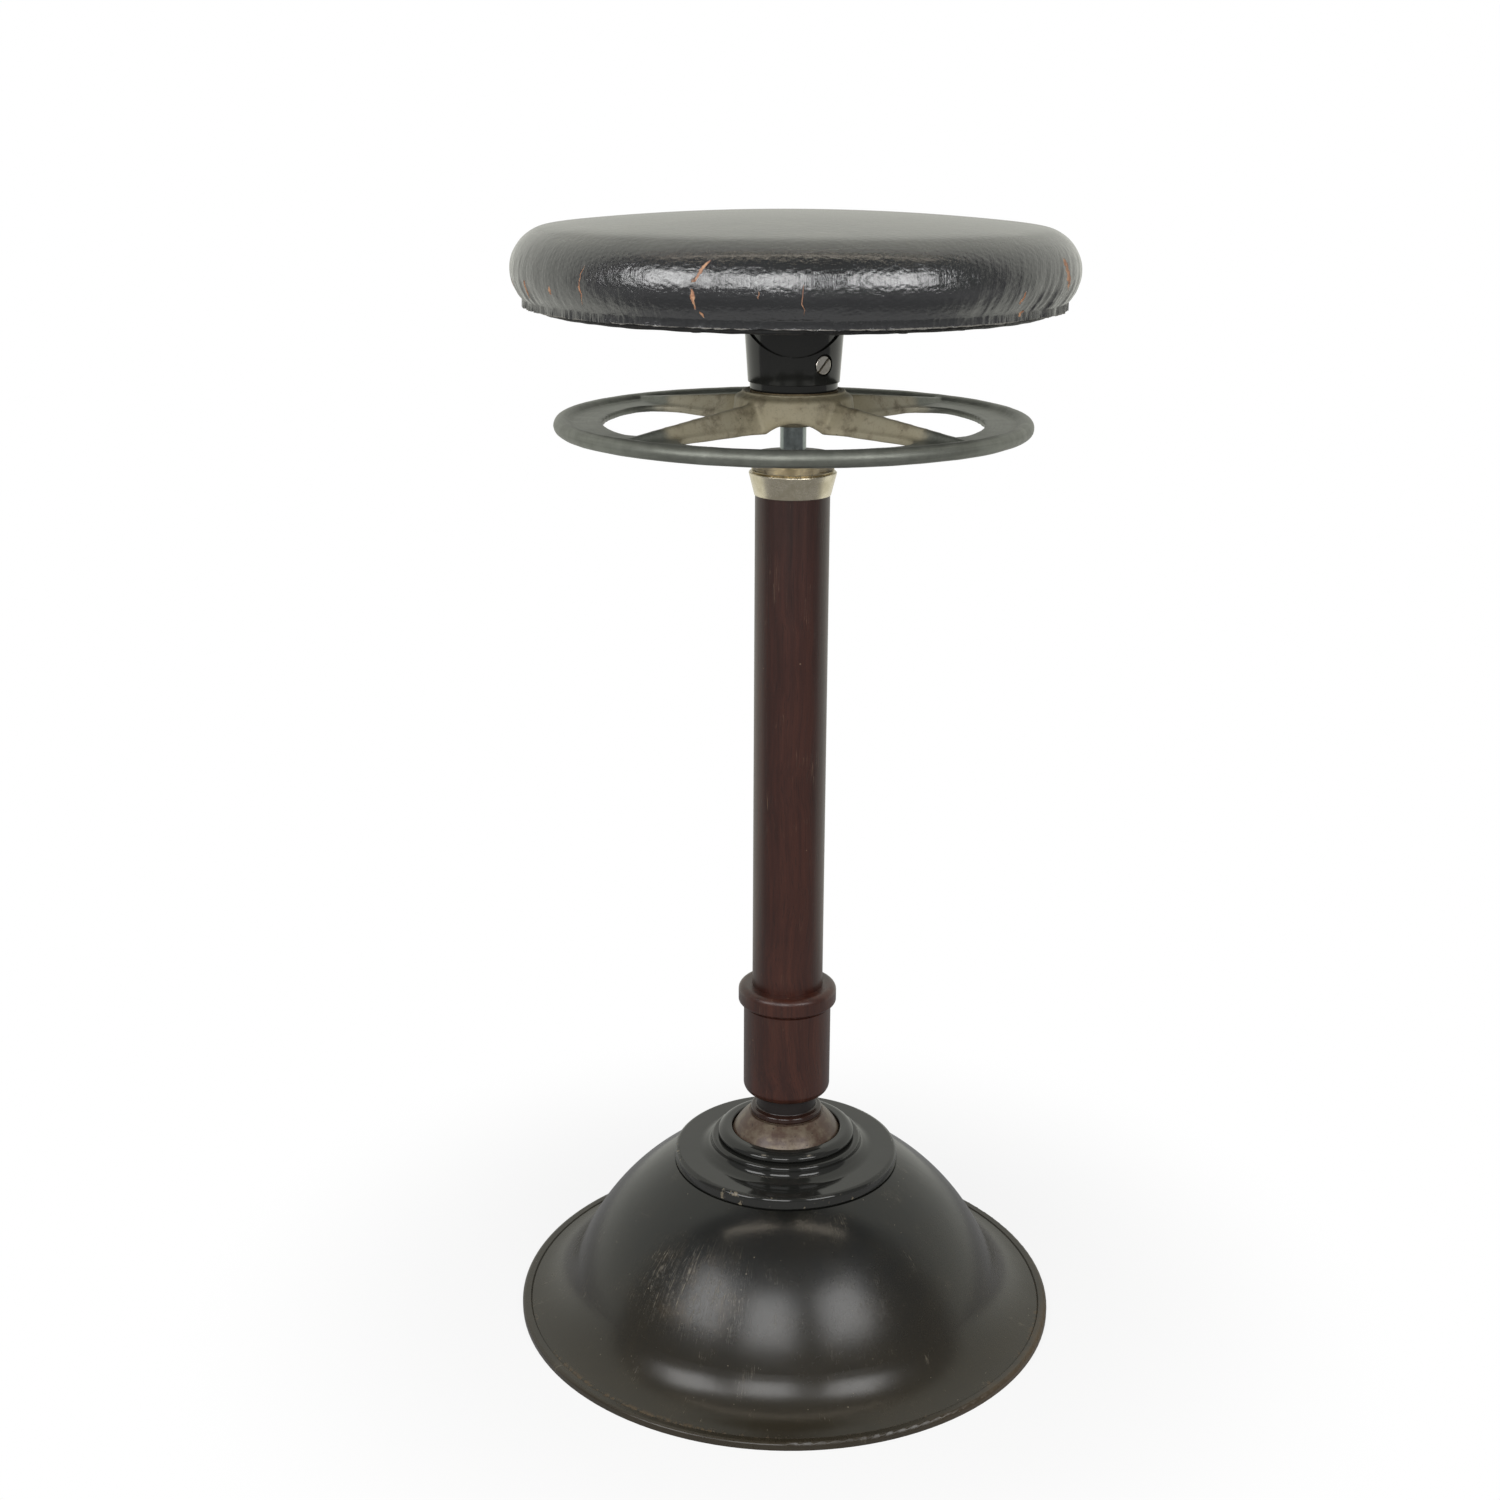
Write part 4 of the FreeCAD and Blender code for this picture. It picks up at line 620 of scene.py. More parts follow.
@dataclass(frozen=True)
class SeatLeather(Finish):
    """Black leather: grey on top, partly dulled with wear and partly painted sheen, glossy and creased
    round the side, split to brown in places.
    """

    name: str = "seat_leather"
    widest: float = 0.7247
    crown: float = 0.7617
    radius: float = 0.1775
    slant: float = 160.0
    hem: float = 0.7027
    black: Rgb = (0.0068, 0.0074, 0.0088)
    dulled: Rgb = (0.0620, 0.0620, 0.0520)
    worn: Rgb = (0.1500, 0.1400, 0.1200)
    bared: Rgb = (0.3000, 0.1050, 0.0350)
    pale: Rgb = (0.5400, 0.2900, 0.1500)

    def paint(self, g: Graph) -> None:
        """Adds the nodes of the leather.

        Args:
            g: Graph that they go in.
        """
        place = g.place()
        x, y, z = g.split(place)
        turn = g.turned(x, y)
        radius = (x * x + y * y) ** 0.5
        uneven = z + (g.noise(place, 30.0, 3.0) - 0.5) * 0.012
        top = uneven.step(self.widest + 15.0 * MM, self.crown - 8.0 * MM)
        smear = g.noise(place, 22.0, 5.0, 0.62)
        tear = g.noise(place, 420.0, 4.0, 0.7)
        split = self._splits(g, turn, z, tear, g.noise(place, 110.0, 2.0))
        edge = split.step(0.10, 0.45) * (1.0 - split.step(0.45, 0.8))
        side = 1.0 - top
        slanted = turn - (z - self.widest) * turn.step(20.0, 60.0) * self.slant
        wrapped = g.join(slanted * math.radians(self.radius), z * 0.35 + radius * 0.35, radius * 0.3)
        grain = g.cells(place, 1100.0, "DISTANCE_TO_EDGE")[0].step(0.0, 0.28)
        pebble = g.cells(g.mapped(place, Grain.LEVEL.value), 330.0, "SMOOTH_F1")[0]
        crease = g.noise(g.mapped(wrapped, (900.0, 120.0, 120.0)), 1.0, 3.0, 0.6)
        folds = g.noise(g.mapped(wrapped, (260.0, 36.0, 36.0)), 1.0, 2.0)
        dents = g.noise(place, 28.0, 3.0, 0.55)
        gathered = turn.near(-72.0, 34.0) + turn.near(62.0, 26.0) + abs(turn).step(95.0, 120.0)
        # Grey on the top: partly worn, dulled leather, partly painted sheen for the light that the top
        # catches.
        colour = g.mix(top * smear.step(0.30, 0.70) * 0.8 + top * 0.2, self.black, self.dulled)
        colour = g.mix(edge * 0.9, colour, self.black)
        frayed = (z + (tear - 0.5) * 1.6 * MM).step(self.hem + 0.8 * MM, self.hem + 0.3 * MM)
        frayed = frayed * g.noise(place, 90.0, 3.0).step(0.36, 0.48)
        colour = g.mix(frayed, colour, self.worn)
        bare = split.step(0.42, 0.62)
        colour = g.mix(bare, colour, g.mix(tear.step(0.45, 0.62), self.bared, self.pale))
        rough = 0.09 + top * 0.23 + smear * 0.06 + (bare + frayed) * 0.45 + crease * 0.04
        skin = g.bump(dents, 0.55 * MM, g.bump(folds * side * (gathered * 0.8 + 0.2), 0.45 * MM))
        skin = g.bump(pebble, 0.26 * MM, g.bump(grain, 0.03 * MM, skin))
        skin = g.bump(crease * side * (gathered * 0.5 + 0.5), 0.30 * MM, skin)
        skin = g.bump(1.0 - bare, 0.5 * MM, skin)
        g.surface(Base_Color=colour, Roughness=rough, Normal=skin, IOR=2.0,
                  Coat_Weight=(1.0 - bare) * 0.4, Coat_Roughness=0.12)

    @staticmethod
    def _splits(g: Graph, turn: Signal, z: Signal, tear: Signal, bend: Signal) -> Signal:
        """Depth of the splits.

        Args:
            g: Graph that the nodes go in; not used.
            turn: Angle round the stool in degrees.
            z: Height.
            tear: Fine noise that roughens the edges.
            bend: Broad noise that the splits wander by.

        Returns:
            0 on whole leather, rising to 1 in the middle of a split.
        """
        depth: Term = 0.0
        wander = (tear - 0.5) * 2.2
        turn = turn + (bend - 0.5) * 3.0
        for crack in CRACKS:
            middle = (crack.low + crack.high) / 2
            reach = (crack.high - crack.low) / 2
            lean = crack.lean_deg / (crack.high - crack.low)
            across = turn + wander * crack.width_deg - (z - middle) * lean
            along = z.near(middle, reach) ** 0.4
            depth = across.near(crack.turn_deg, crack.width_deg * 1.6) * along + depth
        return depth.smaller(1.0)


@dataclass(frozen=True)
class RawEdge(Finish):
    """Torn, greyed edge of the leather along the hem."""

    name: str = "raw_edge"
    grey: Rgb = (0.2300, 0.2150, 0.1850)
    brown: Rgb = (0.0850, 0.0600, 0.0400)

    def paint(self, g: Graph) -> None:
        """Adds the nodes of the torn edge.

        Args:
            g: Graph that they go in.
        """
        place = g.place()
        fray = g.noise(place, 600.0, 5.0, 0.7)
        patchy = g.noise(place, 60.0, 3.0)
        colour = g.mix((fray * 0.5 + patchy * 0.5).step(0.42, 0.62), self.brown, self.grey)
        g.surface(Base_Color=colour, Roughness=fray * 0.2 + 0.7, Normal=g.bump(fray, 0.3 * MM))


@dataclass(frozen=True)
class BindingLeather(Finish):
    """Plain dark leather of the strip under the hem, dry and dusty."""

    name: str = "binding_leather"
    black: Rgb = (0.0080, 0.0080, 0.0080)
    dust: Rgb = (0.0260, 0.0230, 0.0190)

    def paint(self, g: Graph) -> None:
        """Adds the nodes of the leather.

        Args:
            g: Graph that they go in.
        """
        place = g.place()
        smear = g.noise(place, 70.0, 5.0, 0.65)
        pebble = g.cells(place, 520.0, "SMOOTH_F1")[0]
        colour = g.mix(smear.step(0.42, 0.70), self.black, self.dust)
        g.surface(Base_Color=colour, Roughness=smear * 0.2 + 0.45, Normal=g.bump(pebble, 0.15 * MM))


@dataclass(frozen=True)
class Padding(Finish):
    """Hair and fibre of the stuffing."""

    name: str = "seat_padding"
    pale: Rgb = (0.2600, 0.1900, 0.1200)
    dark: Rgb = (0.0600, 0.0420, 0.0280)

    def paint(self, g: Graph) -> None:
        """Adds the nodes of the fibre.

        Args:
            g: Graph that they go in.
        """
        place = g.place()
        hair = g.scratches(place, 40.0, 700.0, 90.0, 0.05)
        hair = hair.larger(g.scratches(place, -50.0, 650.0, 80.0, 0.05))
        tuft = g.noise(place, 140.0, 4.0)
        g.surface(Base_Color=g.mix(tuft * 0.5 + hair * 0.5, self.dark, self.pale), Roughness=0.9,
                  Normal=g.bump(tuft + hair, 1.0 * MM))


@dataclass(frozen=True)
class BoardStain(Finish):
    """Dark stain on the plain board under the seat."""

    name: str = "board_stain"
    dark: Rgb = (0.0170, 0.0130, 0.0105)
    light: Rgb = (0.0560, 0.0400, 0.0280)

    def paint(self, g: Graph) -> None:
        """Adds the nodes of the stained wood.

        Args:
            g: Graph that they go in.
        """
        place = g.place()
        streak = g.noise(g.mapped(place, Grain.ACROSS.value), 180.0, 4.0, 0.65)
        ring = g.noise(g.mapped(place, Grain.ACROSS.value), 30.0, 2.0)
        dirt = g.noise(place, 40.0, 5.0, 0.7)
        figure = (streak * 0.5 + ring * 0.5).step(0.35, 0.68) * dirt.step(0.25, 0.7)
        colour = g.mix(figure, self.dark, self.light)
        g.surface(Base_Color=colour, Roughness=streak * 0.2 + 0.5, Normal=g.bump(streak, 0.12 * MM))


@dataclass(frozen=True)
class Casting(Finish):
    """Plain sand casting, oiled and grimy."""

    name: str = "plain_casting"
    grey: Rgb = (0.1000, 0.0960, 0.0900)
    rust: Rgb = (0.1300, 0.0620, 0.0300)

    def paint(self, g: Graph) -> None:
        """Adds the nodes of the casting.

        Args:
            g: Graph that they go in.
        """
        place = g.place()
        sand = g.noise(place, 480.0, 4.0, 0.7)
        stain = g.noise(place, 50.0, 5.0, 0.65)
        colour = g.mix(stain.step(0.48, 0.68), self.grey, self.rust)
        rough = sand * 0.2 + 0.55
        g.surface(Base_Color=colour, Metallic=0.4, Roughness=rough, Normal=g.bump(sand, 0.3 * MM))


NICKEL = Plate("nickel_plate", (0.68, 0.615, 0.48), (0.48, 0.425, 0.31), 0.10, 0.16)
# Brighter copy of the nickel plate for the ferrule: painted light that lifts its facets to how bright they
# look when lit.
FERRULE_LIT = Plate("ferrule_lit_nickel", (0.80, 0.73, 0.58), (0.60, 0.54, 0.40), 0.17, 0.14)
NICKEL_TOP = Plate("nickel_dark", (0.16, 0.15, 0.13), (0.06, 0.055, 0.045), 0.26, 0.22)
NICKEL_SCREW = Plate("nickel_screw", (0.78, 0.75, 0.69), (0.56, 0.52, 0.45), 0.08, 0.12)
SPINDLE = Plate("spindle_steel", (0.31, 0.345, 0.34), (0.16, 0.18, 0.175), 0.10, 0.14, Grain.UPRIGHT)
STEEL = Plate("plain_steel", (0.50, 0.50, 0.49), (0.24, 0.22, 0.19), 0.26, 0.24)
BLUED = Plate("blued_tack", (0.10, 0.10, 0.10), (0.05, 0.042, 0.035), 0.32, 0.20)
SPRING_STEEL = Plate("spring_steel", (0.20, 0.20, 0.21), (0.09, 0.075, 0.06), 0.30, 0.20)
BRONZE = Plate("turned_bronze", (0.62, 0.42, 0.20), (0.30, 0.20, 0.10), 0.22, 0.20)
# Darker copy of the bronze for the thrust washer: partly dull, aged bronze, partly painted shade in the gap
# between the wheel's boss and the seat hub.
DULL_SHADED_BRONZE = Plate("dull_shaded_bronze", (0.22, 0.17, 0.10), (0.10, 0.075, 0.045), 0.34, 0.20)


class Workpiece:
    """A mesh being modelled: every operator acts on it alone."""

    RING_SIDES: ClassVar[int] = 160
    SECTION_SIDES: ClassVar[int] = 12
    MERGE_GAP: ClassVar[float] = 0.002 * MM

    def __init__(self, name: str, obj: Optional[bpy.types.Object] = None) -> None:
        """Takes an object under a name.

        Args:
            name: Name of the piece.
            obj: The object, or nothing for the one that an operator has just added.
        """
        self.obj = obj or bpy.context.active_object
        self.obj.name = name
        self.obj.data.name = name

    @classmethod
    def cylinder(cls, name: str, radius: float, low: float, high: float, sides: int) -> "Workpiece":
        """Adds an upright cylinder.

        Args:
            name: Name of the piece.
            radius: Its radius.
            low: Level of its foot.
            high: Level of its top.
            sides: Faces round it.

        Returns:
            The piece, with its place in its mesh.
        """
        bpy.ops.object.select_all(action="DESELECT")
        bpy.ops.mesh.primitive_cylinder_add(vertices=sides, radius=radius, depth=high - low,
                                            location=(0.0, 0.0, (low + high) / 2), end_fill_type="NGON")
        piece = cls(name)
        bpy.ops.object.transform_apply(location=True, rotation=True, scale=True)
        return piece

    @classmethod
    def torus(cls, name: str, radius: float, thick: float, height: float) -> "Workpiece":
        """Adds a level ring.

        Args:
            name: Name of the piece.
            radius: Radius of its middle line.
            thick: Radius of its section.
            height: Level of its middle.

        Returns:
            The piece, with its place in its mesh.
        """
        bpy.ops.object.select_all(action="DESELECT")
        bpy.ops.mesh.primitive_torus_add(major_radius=radius, minor_radius=thick,
                                         major_segments=cls.RING_SIDES, minor_segments=cls.SECTION_SIDES,
                                         location=(0.0, 0.0, height))
        piece = cls(name)
        bpy.ops.object.transform_apply(location=True, rotation=True, scale=True)
        return piece

    @classmethod
    def from_node(cls, name: str, node: str) -> "Workpiece":
        """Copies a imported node's mesh and merges its loose triangles.

        Args:
            name: Name of the piece.
            node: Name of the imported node.

        Returns:
            The piece.
        """
        obj = bpy.data.objects.new(name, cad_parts[node].data.copy())
        bpy.context.scene.collection.objects.link(obj)
        obj.data.materials.clear()
        piece = cls(name, obj)
        with piece.editing():
            bpy.ops.mesh.select_all(action="SELECT")
            bpy.ops.mesh.remove_doubles(threshold=cls.MERGE_GAP)
        return piece

    def copy(self, name: str) -> "Workpiece":
        """Copies the piece with a mesh of its own.

        Args:
            name: Name of the copy.

        Returns:
            The copy.
        """
        obj = bpy.data.objects.new(name, self.obj.data.copy())
        bpy.context.scene.collection.objects.link(obj)
        return Workpiece(name, obj)

    def focus(self) -> None:
        """Makes the piece the only selected and active object."""
        bpy.ops.object.select_all(action="DESELECT")
        self.obj.select_set(True)
        bpy.context.view_layer.objects.active = self.obj

    @contextmanager
    def editing(self) -> Iterator[None]:
        """Opens edit mode on the piece alone.

        Returns:
            A context that leaves edit mode at its end.
        """
        self.focus()
        bpy.ops.object.mode_set(mode="EDIT")
        yield
        bpy.ops.object.mode_set(mode="OBJECT")

    def pick(self, element: Element, test: Callable) -> None:
        """Selects, in edit mode, just the elements that pass a test.

        Args:
            element: Kind of the elements.
            test: Says of one element whether it is selected.
        """
        bpy.ops.mesh.select_mode(type=element.value)
        bpy.ops.mesh.select_all(action="DESELECT")
        mesh = bmesh.from_edit_mesh(self.obj.data)
        mesh.normal_update()
        group = {Element.VERT: mesh.verts, Element.EDGE: mesh.edges, Element.FACE: mesh.faces}[element]
        for item in group:
            if test(item):
                item.select_set(True)
        mesh.select_flush_mode()
        bmesh.update_edit_mesh(self.obj.data)

    def modifier(self, kind: str, **settings: object) -> None:
        """Adds a modifier and applies it.

        Args:
            kind: Type of the modifier.
            settings: Its properties by name.
        """
        self.focus()
        made = self.obj.modifiers.new(kind.title(), kind)
        for name, value in settings.items():
            setattr(made, name, value)
        bpy.ops.object.modifier_apply(modifier=made.name)

    def weigh(self, group: str, weight: Callable[[Vector], float]) -> None:
        """Gives each point its weight in a new vertex group.

        Args:
            group: Name of the group.
            weight: Weight at a place, held between 0 and 1.
        """
        made = self.obj.vertex_groups.new(name=group)
        for vert in self.obj.data.vertices:
            made.add([vert.index], max(0.0, min(1.0, weight(vert.co))), "REPLACE")

    def points(self) -> list[Vector]:
        """Places of all points."""
        return [vert.co.copy() for vert in self.obj.data.vertices]

    def move_points(self, move: Callable[[Vector, Vector], Vector]) -> None:
        """Moves every point.

        Args:
            move: The step to take at a place with a normal.
        """
        moved = [vert.co + move(vert.co, vert.normal) for vert in self.obj.data.vertices]
        for vert, place in zip(self.obj.data.vertices, moved):
            vert.co = place
        self.obj.data.update()

    def smooth(self, angle_deg: float = 35.0) -> None:
        """Shades the piece smooth below an angle."""
        self.focus()
        bpy.ops.object.shade_smooth_by_angle(angle=math.radians(angle_deg))

    def place(self, body: str, slot: str, replaced: Sequence[str], *finishes: Finish) -> None:
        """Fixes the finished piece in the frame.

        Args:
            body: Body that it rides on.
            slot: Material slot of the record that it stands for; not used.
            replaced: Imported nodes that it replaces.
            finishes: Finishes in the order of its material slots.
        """
        for finish in finishes:
            self.obj.data.materials.append(finish.material())
        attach(self.obj, body)
        if replaced:
            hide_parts(*replaced)
        self.obj.data.calc_loop_triangles()
        LOG.info("%s: %d triangles", self.obj.name, len(self.obj.data.loop_triangles))


def level(node: str, top: bool) -> float:
    """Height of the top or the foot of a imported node."""
    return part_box(node)[1 if top else 0].z


def reach(node: str) -> float:
    """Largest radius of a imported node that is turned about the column's axis."""
    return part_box(node)[1].x


@dataclass
class BellBase:
    """Bell, flange, retaining ring and what is under them."""

    flange_radius: float = reach("base_flange")

    def build(self) -> None:
        """Dresses the nodes of the base."""
        BellEnamel(rim_radius=reach("base_bell")).dress("base_bell")
        enamel = GlossEnamel("flange_enamel", self.flange_radius, self.flange_radius)
        enamel.dress("base_flange", "socket_ring")
        Casting().dress("socket_cup")
        STEEL.dress("flange_screws", "cross_pin")
        LOG.info("base dressed")


@dataclass
class LeaningColumn:
    """Ball foot, wood column, ferrule and cap, with the tail and spring below."""

    bead_above_pin: float = 31.0 * MM
    knurls: int = 132
    knurl_height: float = 0.45 * MM
    chamfer: float = 0.7 * MM
    bore_gap: float = 0.5 * MM

    def build(self) -> None:
        """Dresses the nodes of the column and models its knurled cap."""
        BallEnamel(bead_level=level("cross_pin", True) + self.bead_above_pin).dress("ball_foot")
        Mahogany("mahogany_post", 0.45).dress("column_post")
        Mahogany("mahogany_collar", 0.75).dress("wood_collar")
        FERRULE_LIT.dress("ferrule")
        STEEL.dress("foot_pin", "tail_bolt", "spring_plate", "tail_nut", "column_tube", "nut_pins")
        SPRING_STEEL.dress("centring_spring")
        BRONZE.dress("guide_bush", "lift_nut")
        self._cap()

    def _cap(self) -> None:
        """Models the cap nut with its diamond knurl, chamfers and bore."""
        low, high = level("cap_nut", False), level("cap_nut", True)
        radius = reach("cap_nut") - self.knurl_height
        bore = reach("spindle") + self.bore_gap
        piece = Workpiece.cylinder("knurled_cap", radius, low + self.chamfer, high - self.chamfer,
                                   self.knurls)
        rows = round((high - low - 2 * self.chamfer) / (math.tau * radius / self.knurls))
        with piece.editing():
            piece.pick(Element.EDGE, lambda e: abs(e.verts[0].co.z - e.verts[1].co.z) > self.chamfer)
            bpy.ops.mesh.subdivide(number_cuts=rows - 1)
            piece.pick(Element.FACE, lambda f: abs(f.normal.z) < 0.5)
            bpy.ops.mesh.poke(offset=0.0)
            piece.pick(Element.EDGE, lambda e: len(e.link_faces) == 2 and self._square_with_rows(e))
            bpy.ops.mesh.dissolve_edges(use_verts=False)
            piece.pick(Element.FACE, lambda f: abs(f.normal.z) < 0.5 and len(f.verts) == 4)
            bpy.ops.mesh.poke(offset=self.knurl_height)
            for side in (1.0, -1.0):
                piece.pick(Element.FACE, lambda f: f.normal.z * side > 0.9)
                bpy.ops.mesh.inset(thickness=self.chamfer)
                bpy.ops.transform.translate(value=(0.0, 0.0, side * self.chamfer))
                bpy.ops.mesh.inset(thickness=radius - self.chamfer - bore)
            piece.pick(Element.FACE, lambda f: abs(f.normal.z) > 0.9 and len(f.verts) > 8)
            bpy.ops.mesh.bridge_edge_loops()
            bpy.ops.mesh.select_all(action="SELECT")
            bpy.ops.mesh.normals_make_consistent(inside=False)
        piece.smooth(20.0)
        piece.place("column", "nickel", ["cap_nut"], NICKEL, NICKEL_TOP)
        for face in piece.obj.data.polygons:
            if face.normal.z > 0.9:
                face.material_index = 1

    @staticmethod
    def _square_with_rows(edge: bmesh.types.BMEdge) -> bool:
        """Tells the cap's upright and level edges from its slanting ones.

        Args:
            edge: An edge of the cap.

        Returns:
            Whether it lies on the side and runs straight up or straight round it.
        """
        first, second = (vert.co for vert in edge.verts)
        if any(abs(face.normal.z) > 0.5 for face in edge.link_faces):
            return False
        rises = abs(first.z - second.z) > 0.05 * MM
        turns = (first.xy - second.xy).length > 0.05 * MM
        return rises != turns


@dataclass
class ScrewLift:
    """Spindle, its small fittings and the cast handwheel."""

    voxel: float = 1.25 * MM
    root_radius: float = 46.0 * MM
    root_spread: float = 12.0 * MM
    root_rounds: int = 14
    skin_rounds: int = 3
    lump: float = 0.18 * MM
    lump_spacing: float = 14.0 * MM
    core_radius: float = 24.0 * MM
    seat_depth: float = 2.5 * MM
    lip_radius: float = 32.0 * MM
    lip_round: float = 1.0 * MM

    def build(self) -> None:
        """Dresses the spindle and models the wheel."""
        SPINDLE.dress("spindle")
        STEEL.dress("wheel_pin", "stop_collar", "stop_screw")
        DULL_SHADED_BRONZE.dress("thrust_washer")
        self._wheel()

    def _wheel(self) -> None:
        """Models the wheel as a casting: one skin, blended roots, slightly uneven."""
        boss_top = level("thrust_washer", False)
        piece = Workpiece.from_node("cast_handwheel", "handwheel")
        piece.modifier("REMESH", mode="VOXEL", voxel_size=self.voxel)
        piece.weigh("roots", lambda co: self._root_weight(co, boss_top))
        piece.modifier("SMOOTH", factor=0.5, iterations=self.root_rounds, vertex_group="roots")
        piece.modifier("SMOOTH", factor=0.5, iterations=self.skin_rounds)
        piece.move_points(lambda co, normal: normal * (noise.noise(co / self.lump_spacing) * self.lump))
        piece.smooth(60.0)
        finish = CastMetal()
        piece.place("spindle", "cast_aluminium", ["handwheel"], finish)
        lip_level = level("handwheel", True) - self.lip_round
        lip = Workpiece.torus("wheel_lip", self.lip_radius, self.lip_round, lip_level)
        lip.smooth()
        lip.place("spindle", "cast_aluminium", [], finish)

    def _root_weight(self, place: Vector, boss_top: float) -> float:
        """How far a point of the wheel takes part in the blend of spokes and hub.

        Args:
            place: The point.
            boss_top: Level of the boss's top, which stays flat.

        Returns:
            1 at the roots, falling away on both sides of them.
        """
        radius = place.xy.length
        if place.z > boss_top - self.seat_depth or radius < self.core_radius:
            return 0.0
        return 1.0 - abs(radius - self.root_radius) / self.root_spread


@dataclass
class SeatSwivel:
    """Black hub of the seat with its sleeve and screws."""

    # Added to the hub's radius, it takes the chipped edge well away from the hub.
    chip_free: float = 1.0

    def build(self) -> None:
        """Dresses the nodes of the hub."""
        enamel = GlossEnamel("hub_enamel", reach("seat_hub") + self.chip_free, reach("hub_sleeve"))
        enamel.dress("seat_hub", "hub_sleeve")
        NICKEL_SCREW.dress("hub_screw")
        STEEL.dress("plate_screws")
        LOG.info("hub dressed")


@dataclass(frozen=True)
class Gather:
    """A stretch of the hem where the leather is gathered in folds."""

    turn_deg: float
    spread_deg: float
    depth: float


GATHERS = (
    Gather(62.0, 17.0, 1.3),
    Gather(-74.0, 15.0, 1.0),
    Gather(148.0, 22.0, 1.0),
    Gather(-132.0, 20.0, 0.9),
)


